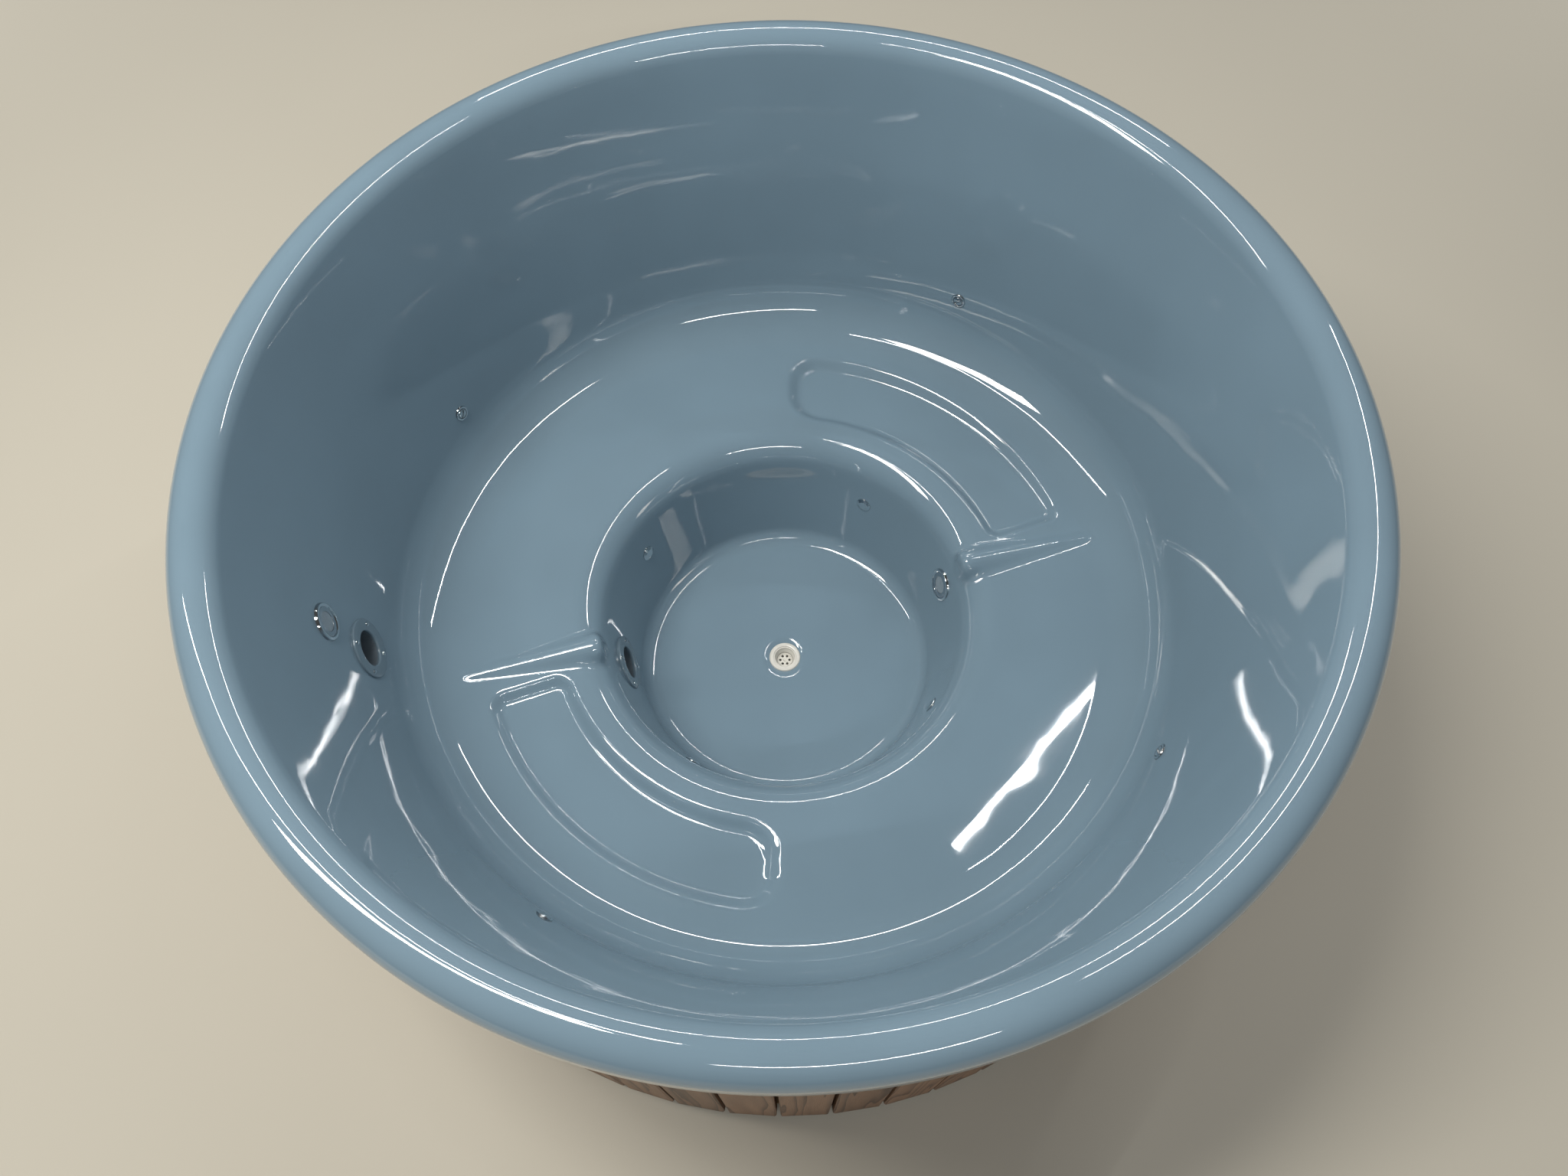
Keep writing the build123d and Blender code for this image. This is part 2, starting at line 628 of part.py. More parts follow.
def back_ring(spot):
    """Clamping ring on the pipe, with its front against the back of the laminate."""
    deep = -back_of(spot) - BACK_RING_THICK
    blank = prism(BACK_RING_R, BACK_RING_SIDES, deep, 0)
    blank -= prism(HEATER_PIPE_R + SEAT, LIGHT_HOUSING_SIDES, deep - CUT_PAST, CUT_PAST)
    return (spot * blank) & back_space


def heater_pipe(azimuth, height, wall):
    """Pipe from the flange, square to the wall and then level, out through the boards to its collar."""
    radius, base, heading = wall
    lean = radians(270) - heading
    at = radius + (height - base) * tan(lean)
    knee = (at + HEATER_NECK * cos(lean), 0, height - HEATER_NECK * sin(lean))
    foot = BOARD_FACE_R / cos(pi / BOARD_COUNT) + SEAT
    face = foot + HEATER_COLLAR_THICK
    path = Polyline((at, 0, height), knee, (face + HEATER_SPIGOT_LONG, 0, knee[2]))
    collar = prism(HEATER_COLLAR_R, HEATER_COLLAR_SIDES, foot, face)
    collar -= disc(HEATER_PIPE_R - HEATER_PIPE_WALL / 2, foot - CUT_PAST, face + CUT_PAST)
    collar = Pos(0, 0, knee[2]) * Rot(0, 90, 0) * collar
    return Rot(0, 0, azimuth) * (tube(path, HEATER_PIPE_R, HEATER_PIPE_WALL) + collar)


# Underwater lights
def light_bezel():
    bezel = disc(LIGHT_R, -LIGHT_PROUD, LIGHT_PROUD / 2)
    bezel += bevelled(LIGHT_R, LIGHT_FRONT_R, LIGHT_PROUD / 2, LIGHT_PROUD)
    return bezel - disc(LIGHT_WINDOW_R, -LIGHT_PROUD - CUT_PAST, LIGHT_PROUD + CUT_PAST)


def light_lamp():
    """Lens in the bezel's window and the closed housing behind it."""
    lens = disc(LIGHT_WINDOW_R - SEAT, -LIGHT_PROUD - SEAT, LIGHT_PROUD - LIGHT_LENS_SUNK)
    return lens + prism(LIGHT_HOUSING_R, LIGHT_HOUSING_SIDES, -LIGHT_DEEP, -LIGHT_PROUD - SEAT)


def light_nut(spot):
    high = -back_of(spot)
    nut = prism(LIGHT_NUT_ACROSS / 2, 8, high - LIGHT_NUT_THICK, high)
    return nut - prism(LIGHT_HOUSING_R + SEAT, LIGHT_HOUSING_SIDES, -LIGHT_DEEP, CUT_PAST)


# Air jets
def jet_tail():
    """Tail through the laminate to the air hose."""
    return prism(JET_TAIL_R, JET_TAIL_SIDES, -JET_TAIL_LONG, JET_SEAT)


def wall_jet():
    """Bevelled ring on its tail, bored for the turning nozzle."""
    solid = bevelled(JET_R, JET_FRONT_R, JET_SEAT, JET_RING_HIGH) + jet_tail()
    return solid - disc(JET_BORE_R, -JET_BORE_DEEP, JET_RING_HIGH + CUT_PAST)


def jet_nozzle():
    """Turning face with grip flats and a slot."""
    face = prism((JET_BORE_R - NOZZLE_CLEARANCE) * cos(pi / NOZZLE_SIDES), NOZZLE_SIDES, 0, NOZZLE_HIGH)
    face += prism(NOZZLE_SPIGOT_R, NOZZLE_SIDES, SEAT - JET_BORE_DEEP, 0)
    slot = Box(NOZZLE_SLOT_LONG, NOZZLE_SLOT_WIDE, 2 * NOZZLE_SLOT_DEEP)
    return face - Rot(0, 0, NOZZLE_SLOT_TURN) * Pos(0, 0, NOZZLE_HIGH) * slot


def well_jet():
    """Domed cap on its tail."""
    return bevelled(JET_R, CAP_FRONT_R, JET_SEAT, CAP_HIGH) + jet_tail()


def jet_nut(spot):
    high = -back_of(spot)
    nut = prism(JET_NUT_ACROSS / 2, 6, high - JET_NUT_THICK, high)
    return nut - prism(JET_TAIL_R + SEAT, JET_TAIL_SIDES, -JET_TAIL_LONG, CUT_PAST)


save("tub_liner", tub_liner())
save("cladding_boards", *cladding_boards())
hoop_base_z = PAD_HIGH + JOIST_HIGH
save("hoop_base", hoop(hoop_base_z, HOOP_BASE_DEPTH))
save("hoop_middle", hoop(HOOP_MIDDLE_Z, HOOP_MIDDLE_DEPTH))
save("hoop_upper", hoop(HOOP_UPPER_Z, HOOP_UPPER_DEPTH))
save("studs_lower", *studs(hoop_base_z + HOOP_THICK, HOOP_MIDDLE_Z))
save("studs_upper", *studs(HOOP_MIDDLE_Z + HOOP_THICK, HOOP_UPPER_Z))
for number, offset in enumerate(JOIST_OFFSETS, 1):
    save(f"joist_{number}", joist(offset))
save("foot_pads", *foot_pads())
post_places = [(a * POST_OFFSET, o) for o in (JOIST_OFFSETS[0], JOIST_OFFSETS[-1]) for a in (-1, 1)]
for number, place in enumerate(post_places, 1):
    save(f"bench_post_{number}", bench_post(*place))
save("floor_board", floor_board())

save("drain_run", drain_run())
save("drain_strainer", drain_strainer())
save("drain_locknut", drain_locknut())
save("tap_lever", tap_lever())

save(
    "heater_flanges",
    heater_flange(upper_flange_spot, FLANGE_UPPER_THICK),
    heater_flange(lower_flange_spot, FLANGE_LOWER_THICK),
)
save("flange_back_rings", *[back_ring(spot) for spot in flange_spots])
save(
    "heater_pipes",
    heater_pipe(UPPER_FLANGE_AZIMUTH, UPPER_FLANGE_Z, BACKREST),
    heater_pipe(LOWER_FLANGE_AZIMUTH, LOWER_FLANGE_Z, WELL_WALL),
)

save("light_bezels", *[spot * light_bezel() - wall_form for spot in light_spots])
save("light_lamps", *[spot * light_lamp() for spot in light_spots])
save("light_nuts", *[spot * light_nut(spot) for spot in light_spots])

save("wall_jets", *[spot * wall_jet() for spot in wall_jet_spots])
for number, spot in enumerate(wall_jet_spots, 1):
    save(f"jet_nozzle_{number}", spot * jet_nozzle())
save("well_jets", *[spot * well_jet() for spot in well_jet_spots])
save("jet_nuts", *[spot * jet_nut(spot) for spot in jet_spots])
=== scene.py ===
"""Round hot tub with a moulded liner and boarded side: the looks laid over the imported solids."""

import math

import bmesh
import bpy
import numpy as np
from bpy.props import FloatProperty, FloatVectorProperty, PointerProperty
from mathutils import Matrix, Vector


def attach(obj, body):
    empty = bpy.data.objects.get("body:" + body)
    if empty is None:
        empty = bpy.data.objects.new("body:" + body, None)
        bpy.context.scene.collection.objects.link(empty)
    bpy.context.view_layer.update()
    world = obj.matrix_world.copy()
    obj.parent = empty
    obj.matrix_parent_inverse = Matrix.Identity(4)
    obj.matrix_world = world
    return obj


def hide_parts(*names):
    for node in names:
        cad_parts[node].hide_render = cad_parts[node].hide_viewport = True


bl_info = {
    "name": "Round hot tub",
    "version": (1, 0, 0),
    "blender": (4, 5, 0),
    "location": "3D View > Sidebar > Hot tub",
    "description": "Builds the liner, boards and fittings of a round hot tub over its packed solids",
    "category": "Object",
}

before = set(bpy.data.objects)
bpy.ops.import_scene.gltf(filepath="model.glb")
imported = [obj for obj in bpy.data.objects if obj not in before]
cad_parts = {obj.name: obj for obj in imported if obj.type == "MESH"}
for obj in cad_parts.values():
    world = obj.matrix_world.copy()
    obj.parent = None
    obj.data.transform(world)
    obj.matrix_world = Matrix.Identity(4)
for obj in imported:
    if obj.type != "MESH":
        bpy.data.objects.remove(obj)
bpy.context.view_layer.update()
MM = 0.001

# The turned form of the liner: radii, heights and leans of its section, in millimetres and degrees
RIM_R, HEIGHT, HEM_Z, LAMINATE = 1000.0, 1012.0, 940.0, 7.0
BENCH_R, BENCH_Z, BACK_LEAN = 760.0, 369.0, 14.0
WELL_R, WELL_LEAN, FLOOR_Z, DRAIN_HOLE_R = 388.0, 14.5, 90.0, 23.3
BOARD_COUNT, BOARD_GAP_AZIMUTH = 58, -91.6

# The two ribs: each is a cone about an axis that dips from its nose over the footwell to its point
RIB_AZIMUTHS = (13.0, 193.0)
RIB_NOSE_AT, RIB_NOSE_HIGH, RIB_NOSE_R = 384.0, 24.0, 32.02
RIB_POINT_AT, RIB_POINT_R, RIB_EDGE_ROUND = 632.0, 4.0, 16.0
# The part of the liner that the ribs can reach, and the walk that finds their surface
RIB_ZONE_IN, RIB_ZONE_OUT, RIB_ZONE_LOW, RIB_ZONE_TURN = 330, 672, 200, 14
WALK_FROM, WALK_STEPS, WALK_SHARE = 45.0, 90, 0.8

# The two seats: a ring sector each, beside its rib, whose end corners differ
SEAT_DEEP, SEAT_MIDDLE_R, SEAT_HALF_WIDE = 17.0, 550.0, 86.0
SEAT_FROM_RIB, SEAT_HALF_TURN = 40.0, 35.0
SEAT_FAR_CORNER, SEAT_NEAR_CORNER, SEAT_EDGE_OUT = 70.0, 36.0, 4.0

# The liner's grid: columns round it, and how often its back takes a row in roundings and on straight runs
COLUMNS, COLUMN_CROWDING = 480, 0.45
BACK_ROW_BENDING, BACK_ROW_STRAIGHT, LEAST_BEND = 3, 8, 0.005

# Opening behind each flange: half its size along the wall, up the wall and through it
FLANGE_HOLE_WIDE, FLANGE_HOLE_HIGH, FLANGE_HOLE_DEEP = 44, 38.0, 16

# Fittings: azimuth, height and wall, and how far a flange stands proud of it
FLANGES = ((192.2, 558.0, "back", 6.0), (190.4, 218.0, "well", 8.0))
LIGHTS = ((192.2, 695.0, "back"), (15.3, 258.0, "well"))
WALL_JETS = tuple((azimuth, 500.0, "back") for azimuth in (59.6, 149.5, 237.1, 331.3))
WELL_JETS = tuple((azimuth, 250.0, "well") for azimuth in (58.8, 147.9, 237.3, 329.1))
WALLS = {"back": (BENCH_R, BACK_LEAN), "well": (WELL_R, WELL_LEAN)}


def linear(colour):
    """The linear colour, with alpha, of an sRGB hex value."""
    s = np.array([int(colour[i : i + 2], 16) for i in (1, 3, 5)]) / 255
    return (*np.where(s <= 0.04045, s / 12.92, ((s + 0.055) / 1.055) ** 2.4).tolist(), 1.0)


class HotTubSizes(bpy.types.PropertyGroup):
    """Sizes that a user may change without moving any piece out of its place in the solids."""

    lip_round: FloatProperty(
        name="Lip rounding", description="Radius of the liner's lip", default=0.044, subtype="DISTANCE"
    )
    bench_round: FloatProperty(
        name="Bench rounding",
        description="Radius between the backrest and the bench",
        default=0.130,
        subtype="DISTANCE",
    )
    well_edge_round: FloatProperty(
        name="Footwell edge",
        description="Radius of the footwell's edge",
        default=0.070,
        subtype="DISTANCE",
    )
    floor_round: FloatProperty(
        name="Floor rounding",
        description="Radius round the footwell's floor",
        default=0.040,
        subtype="DISTANCE",
    )
    rib_fillet: FloatProperty(
        name="Rib fillet",
        description="How softly the ribs run into the bench",
        default=0.020,
        subtype="DISTANCE",
    )
    seat_slope: FloatProperty(
        name="Seat slope",
        description="Width of the sunken seats' sloping sides",
        default=0.030,
        subtype="DISTANCE",
    )
    board_arris: FloatProperty(
        name="Board edges", description="Rounding of the boards' edges", default=0.0012, subtype="DISTANCE"
    )


class HotTubColours(bpy.types.PropertyGroup):
    """Colours of the main finishes."""

    gelcoat: FloatVectorProperty(
        name="Gelcoat", description="Liner", subtype="COLOR", size=4, min=0, max=1, default=linear("#718795")
    )
    early_wood: FloatVectorProperty(
        name="Board, pale", description="Pale part of the boards' grain", subtype="COLOR",
        size=4, min=0, max=1, default=linear("#8a6a52"),
    )
    late_wood: FloatVectorProperty(
        name="Board, dark", description="Dark lines of the boards' grain", subtype="COLOR",
        size=4, min=0, max=1, default=linear("#4b3528"),
    )
    floor: FloatVectorProperty(
        name="Floor", description="Floor round the tub", subtype="COLOR",
        size=4, min=0, max=1, default=linear("#bdb8aa"),
    )


def sizes():
    """The scene's sizes, as set in the panel."""
    return bpy.context.scene.hot_tub_sizes


def colours():
    """The scene's colours, as set in the panel."""
    return bpy.context.scene.hot_tub_colours


# Materials
def add_node(tree, kind, settings=None, inputs=None, stops=None):
    """Adds a node with its settings, its inputs' values or links, and a ramp's stops where it has one."""
    made = tree.nodes.new(kind)
    for key, value in (settings or {}).items():
        setattr(made, key, value)
    for key, value in (inputs or {}).items():
        if isinstance(value, bpy.types.NodeSocket):
            tree.links.new(value, made.inputs[key])
        else:
            made.inputs[key].default_value = value
    for place, (position, colour) in enumerate(stops or ()):
        ramp = made.color_ramp.elements
        stop = ramp[place] if place < 2 else ramp.new(position)
        stop.position, stop.color = position, colour
    return made


def new_material(name):
    """An empty node material and its node tree."""
    material = bpy.data.materials.new(name)
    material.use_nodes = True
    material.node_tree.nodes.clear()
    return material, material.node_tree


def surface_of(tree, inputs):
    """The material's one principled shader, wired to the output."""
    shader = add_node(tree, "ShaderNodeBsdfPrincipled", inputs=inputs)
    add_node(tree, "ShaderNodeOutputMaterial", inputs={"Surface": shader.outputs[0]})


def bump(tree, height, distance):
    """A bump whose height of 0 to 1 stands for the given distance in metres."""
    made = add_node(tree, "ShaderNodeBump", inputs={"Height": height, "Distance": distance, "Strength": 1.0})
    return made.outputs[0]


def gelcoat(name="moulded_gelcoat", tint=1.0, rough=0.035):
    """Polyester gelcoat taken off a polished mould: deep gloss, with the slow waves of a large lay-up that
    make thin reflections wander, and a faint cloudiness in the pigment."""
    material, tree = new_material(name)
    place = add_node(tree, "ShaderNodeTexCoord").outputs["Object"]
    base = colours().gelcoat
    low = [c * tint * 0.965 for c in base[:3]] + [1.0]
    high = [min(c * tint * 1.035, 1.0) for c in base[:3]] + [1.0]
    # Clouds about 300 mm across
    clouds = add_node(tree, "ShaderNodeTexNoise", inputs={"Vector": place, "Scale": 3.3, "Detail": 2.0})
    pigment = add_node(
        tree, "ShaderNodeValToRGB", inputs={0: clouds.outputs[0]}, stops=[(0.35, low), (0.65, high)]
    )
    # Waves of the lay-up about 160 mm long and half a millimetre deep
    waves = add_node(
        tree, "ShaderNodeTexNoise", inputs={"Vector": place, "Scale": 6.0, "Detail": 1.5, "Roughness": 0.35}
    )
    surface_of(
        tree,
        {
            "Base Color": pigment.outputs[0],
            "Roughness": rough,
            "IOR": 1.53,
            "Coat Weight": 0.6,
            "Coat Roughness": 0.012,
            "Normal": bump(tree, waves.outputs[0], 0.0016),
        },
    )
    return material


def laminate():
    """Hand-laid glass-fibre laminate, resin rich on its hidden side: matt, greenish cream, with the mat's
    strands showing."""
    material, tree = new_material("glass_fibre_laminate")
    place = add_node(tree, "ShaderNodeTexCoord").outputs["Object"]
    # Strands about 14 mm apart, coarser than the real mat so that they show
    strands = add_node(
        tree,
        "ShaderNodeTexVoronoi",
        {"feature": "DISTANCE_TO_EDGE"},
        {"Vector": place, "Scale": 70.0},
    )
    shade = add_node(
        tree,
        "ShaderNodeValToRGB",
        inputs={0: strands.outputs[0]},
        stops=[(0.0, linear("#8f9684")), (0.18, linear("#b9bda6"))],
    )
    surface_of(
        tree,
        {
            "Base Color": shade.outputs[0],
            "Roughness": 0.62,
            "Normal": bump(tree, strands.outputs[0], 0.0012),
        },
    )
    return material


def board_place(tree):
    """Coordinates on the board that a point belongs to: depth, across and along, and a random value for
    each board. The board's number is the azimuth from the first gap, divided by the pitch, rounded down."""
    place = add_node(tree, "ShaderNodeTexCoord").outputs["Object"]
    parts = add_node(tree, "ShaderNodeSeparateXYZ", inputs={0: place})
    turn = add_node(
        tree, "ShaderNodeMath", {"operation": "ARCTAN2"}, {0: parts.outputs[1], 1: parts.outputs[0]}
    )
    pitch = 2 * math.pi / BOARD_COUNT
    first = math.radians(BOARD_GAP_AZIMUTH)
    from_gap = add_node(tree, "ShaderNodeMath", {"operation": "SUBTRACT"}, {0: turn.outputs[0], 1: first})
    whole = add_node(
        tree, "ShaderNodeMath", {"operation": "WRAP"}, {0: from_gap.outputs[0], 1: 2 * math.pi, 2: 0.0}
    )
    share = add_node(tree, "ShaderNodeMath", {"operation": "DIVIDE"}, {0: whole.outputs[0], 1: pitch})
    number = add_node(tree, "ShaderNodeMath", {"operation": "FLOOR"}, {0: share.outputs[0]})
    back = add_node(
        tree,
        "ShaderNodeMath",
        {"operation": "MULTIPLY_ADD"},
        {0: number.outputs[0], 1: -pitch, 2: -first - pitch / 2},
    )
    local = add_node(
        tree,
        "ShaderNodeVectorRotate",
        {"rotation_type": "Z_AXIS"},
        {"Vector": place, "Angle": back.outputs[0]},
    )
    chance = add_node(tree, "ShaderNodeTexWhiteNoise", {"noise_dimensions": "1D"}, {"W": number.outputs[0]})
    return local.outputs[0], chance


def grained(name, early, late, across_mm, place_of=None, rough=0.5, centre=(0.0, 0.0, 0.0)):
    """Planed softwood: growth rings cut lengthwise, a few millimetres apart, paler early wood between dark
    late wood, with short pores along the grain. Where place_of is given, each board has a cut and a shade of
    its own, and otherwise centre says how far the tree's axis lies from the object's origin, in metres."""
    material, tree = new_material(name)
    if place_of:
        local, chance = place_of(tree)
        shift = add_node(
            tree, "ShaderNodeVectorMath", {"operation": "MULTIPLY_ADD"},
            {0: chance.outputs["Color"], 1: (0.12, 0.22, 4.0), 2: local},
        ).outputs[0]
        shade = add_node(
            tree, "ShaderNodeMapRange", inputs={0: chance.outputs[0], 3: 0.78, 4: 1.12}
        ).outputs[0]
    else:
        place = add_node(tree, "ShaderNodeTexCoord").outputs["Object"]
        shift = add_node(
            tree, "ShaderNodeVectorMath", {"operation": "ADD"}, {0: place, 1: centre}
        ).outputs[0]
        shade = 1.0
    # The tree's axis leans along the board, so the rings run out in long points
    slim = add_node(
        tree, "ShaderNodeVectorMath", {"operation": "MULTIPLY"}, {0: shift, 1: (1.0, 1.0, 0.05)}
    ).outputs[0]
    wander = add_node(
        tree, "ShaderNodeTexNoise", inputs={"Vector": slim, "Scale": 9.0, "Detail": 3.0, "Distortion": 0.4}
    )
    bent = add_node(
        tree, "ShaderNodeVectorMath", {"operation": "MULTIPLY_ADD"},
        {0: wander.outputs["Color"], 1: (0.05, 0.05, 0.0), 2: slim},
    ).outputs[0]
    rings = add_node(
        tree,
        "ShaderNodeTexWave",
        {"wave_type": "RINGS", "rings_direction": "Z", "wave_profile": "SAW"},
        {"Vector": bent, "Scale": 2 * math.pi / 20 / (across_mm * MM), "Distortion": 1.2, "Detail": 2.0,
         "Detail Scale": 1.5},
    )
    colour = add_node(
        tree,
        "ShaderNodeValToRGB",
        inputs={0: rings.outputs["Fac"]},
        stops=[(0.15, early), (0.97, late), (0.6, [a * 0.7 + b * 0.3 for a, b in zip(early, late)])],
    )
    # Pores 0.6 mm wide and 30 mm long
    fine = add_node(
        tree, "ShaderNodeVectorMath", {"operation": "MULTIPLY"}, {0: shift, 1: (1.0, 1.0, 0.02)}
    ).outputs[0]
    pores = add_node(tree, "ShaderNodeTexNoise", inputs={"Vector": fine, "Scale": 900.0, "Detail": 2.0})
    depth = add_node(
        tree, "ShaderNodeMapRange", inputs={0: pores.outputs[0], 1: 0.35, 2: 0.7, 3: 0.86, 4: 1.08}
    )
    value = add_node(tree, "ShaderNodeMath", {"operation": "MULTIPLY"}, {0: depth.outputs[0], 1: shade})
    toned = add_node(
        tree, "ShaderNodeHueSaturation", inputs={"Value": value.outputs[0], "Color": colour.outputs[0]}
    )
    surface_of(
        tree,
        {
            "Base Color": toned.outputs[0],
            "Roughness": rough,
            "Normal": bump(tree, pores.outputs[0], 0.0004),
        },
    )
    return material


def plywood():
    """Exterior plywood: calm veneer faces and edges striped by plies 1.5 mm thick."""
    material, tree = new_material("exterior_plywood")
    place = add_node(tree, "ShaderNodeTexCoord").outputs["Object"]
    parts = add_node(tree, "ShaderNodeSeparateXYZ", inputs={0: place})
    level = add_node(tree, "ShaderNodeMath", {"operation": "MULTIPLY"}, {0: parts.outputs[2], 1: 1 / 0.003})
    ply = add_node(tree, "ShaderNodeMath", {"operation": "FRACT"}, {0: level.outputs[0]})
    grain = add_node(
        tree, "ShaderNodeVectorMath", {"operation": "MULTIPLY"}, {0: place, 1: (0.08, 1.0, 1.0)}
    )
    veneer = add_node(
        tree, "ShaderNodeTexNoise", inputs={"Vector": grain.outputs[0], "Scale": 160.0, "Detail": 3.0}
    )
    height = add_node(tree, "ShaderNodeMath", {"operation": "MULTIPLY_ADD"},
                      {0: veneer.outputs[0], 1: 0.6, 2: ply.outputs[0]})
    colour = add_node(
        tree,
        "ShaderNodeValToRGB",
        inputs={0: height.outputs[0]},
        stops=[(0.3, linear("#8d6b46")), (1.0, linear("#c4a074"))],
    )
    surface_of(tree, {"Base Color": colour.outputs[0], "Roughness": 0.6,
                      "Normal": bump(tree, veneer.outputs[0], 0.0003)})
    return material


def plain(name, colour, rough, metal=0.0, grain_mm=1.0, grain_deep=0.0, coat=0.0):
    """A moulded, plated or cast finish: one colour, clouded a little, with a fine surface grain of the
    given width and depth in millimetres."""
    material, tree = new_material(name)
    place = add_node(tree, "ShaderNodeTexCoord").outputs["Object"]
    base = linear(colour)
    clouds = add_node(tree, "ShaderNodeTexNoise", inputs={"Vector": place, "Scale": 60.0, "Detail": 2.0})
    tone = add_node(
        tree,
        "ShaderNodeValToRGB",
        inputs={0: clouds.outputs[0]},
        stops=[(0.3, [c * 0.93 for c in base[:3]] + [1.0]), (0.7, base)],
    )
    inputs = {"Base Color": tone.outputs[0], "Roughness": rough, "Metallic": metal, "Coat Weight": coat}
    if grain_deep:
        grain = add_node(
            tree, "ShaderNodeTexNoise", inputs={"Vector": place, "Scale": 1 / (grain_mm * MM), "Detail": 2.0}
        )
        inputs["Normal"] = bump(tree, grain.outputs[0], grain_deep * MM)
    surface_of(tree, inputs)
    return material


FINISHES = {}


def finish(name):
    """The named material, made when it is first asked for."""
    makers = {
        "gelcoat": gelcoat,
        "flange": lambda: gelcoat("moulded_flange_plastic", tint=0.74, rough=0.22),
        "laminate": laminate,
        "boards": lambda: grained(
            "heat_treated_cladding", colours().early_wood, colours().late_wood, 5.0, board_place, 0.48
        ),
        "pine": lambda: grained(
            "planed_pine", linear("#cba878"), linear("#a27a4c"), 4.0, centre=(0.31, 0.17, 0.0)
        ),
        "plywood": plywood,
        "rubber": lambda: plain("moulded_rubber", "#1d1d1e", 0.8, grain_mm=1.5, grain_deep=0.2),
        # Chromium over polished brass: near mirror, cool grey
        "chrome": lambda: plain("polished_chrome_plate", "#d3d6d8", 0.09, metal=1.0),
        # Chromium over a brushed seat: softer than the rims
        "satin": lambda: plain("satin_chrome_plate", "#aeb4b9", 0.26, metal=1.0),
        "lens": lambda: plain("moulded_polycarbonate_lens", "#7f8c94", 0.16, coat=0.8),
        # Injection-moulded PVC: opaque and evenly glossy
        "white": lambda: plain("white_moulded_pvc", "#cfcdc5", 0.28, grain_mm=2.0, grain_deep=0.03),
        "grey": lambda: plain("grey_extruded_pvc", "#5d6870", 0.34, grain_mm=2.0, grain_deep=0.04),
        "steel": lambda: plain(
            "stamped_stainless_steel", "#b9bbbc", 0.3, metal=1.0, grain_mm=0.6, grain_deep=0.02
        ),
    }
    if name not in FINISHES:
        FINISHES[name] = makers[name]()
    return FINISHES[name]


# Meshes. Doubled points are joined within these distances, in metres, on new pieces and on copied solids
POLE_MERGE, SOLID_MERGE = 2e-6, 1e-6
# How far apart the two points of a sharp corner lie, in millimetres
HAIR = 0.04


def quads(rows, columns, wrap_rows=False):
    """Corner numbers of the quads between neighbouring grid points, closed round the columns."""
    i = np.arange(rows if wrap_rows else rows - 1)[:, None]
    j = np.arange(columns)[None, :]
    nearby, after = (j + 1) % columns, (i + 1) % rows
    corners = [i * columns + j, i * columns + nearby, after * columns + nearby, after * columns + j]
    return np.stack([np.broadcast_to(c, (len(i), columns)) for c in corners], -1).reshape(-1, 4)


def piece(name, parts, materials, body="tub", replaced=(), merge=False, keep=None):
    """A smooth mesh object from one or more (points, faces) pairs, in metres, put in place and on its body.
    Where merge is set, doubled points are joined, so that poles close, and faces are turned outwards. Where
    keep is given, only the faces that it marks are made."""
    points, faces, start = [], [], 0
    for part_points, part_faces in parts:
        points.append(part_points.reshape(-1, 3))
        faces.append(part_faces + start)
        start += len(points[-1])
    points, faces = np.concatenate(points), np.concatenate(faces)
    if keep is not None:
        faces = faces[keep]
    mesh = bpy.data.meshes.new(name)
    mesh.vertices.add(len(points))
    mesh.vertices.foreach_set("co", points.astype(np.float32).ravel())
    mesh.loops.add(faces.size)
    mesh.loops.foreach_set("vertex_index", faces.astype(np.int32).ravel())
    mesh.polygons.add(len(faces))
    mesh.polygons.foreach_set("loop_start", np.arange(0, faces.size, 4, dtype=np.int32))
    mesh.update(calc_edges=True)
    mesh.validate()
    if merge:
        work = bmesh.new()
        work.from_mesh(mesh)
        bmesh.ops.remove_doubles(work, verts=work.verts, dist=POLE_MERGE)
        bmesh.ops.recalc_face_normals(work, faces=work.faces)
        work.to_mesh(mesh)
        work.free()
    mesh.polygons.foreach_set("use_smooth", np.full(len(mesh.polygons), True))
    for material in materials:
        mesh.materials.append(material)
    made = bpy.data.objects.new(name, mesh)
    bpy.context.scene.collection.objects.link(made)
    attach(made, body)
    if replaced:
        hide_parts(*replaced)
    return made


def arc(before, corner, after, radius, steps):
    """A rounding at a corner: points turned evenly about its centre, from the side that comes in to the side
    that goes out, both of which it meets squarely to its radius."""
    u, v = before - corner, after - corner
    u, v = u / np.linalg.norm(u), v / np.linalg.norm(v)
    half = math.acos(float(np.clip(u @ v, -1, 1))) / 2
    centre = corner + (u + v) / np.linalg.norm(u + v) * radius / math.sin(half)
    a = corner + u * radius / math.tan(half) - centre
    b = corner + v * radius / math.tan(half) - centre
    angle = math.pi - 2 * half
    t = np.linspace(0, 1, steps + 1)[:, None]
    return centre + (np.sin((1 - t) * angle) * a + np.sin(t * angle) * b) / math.sin(angle)


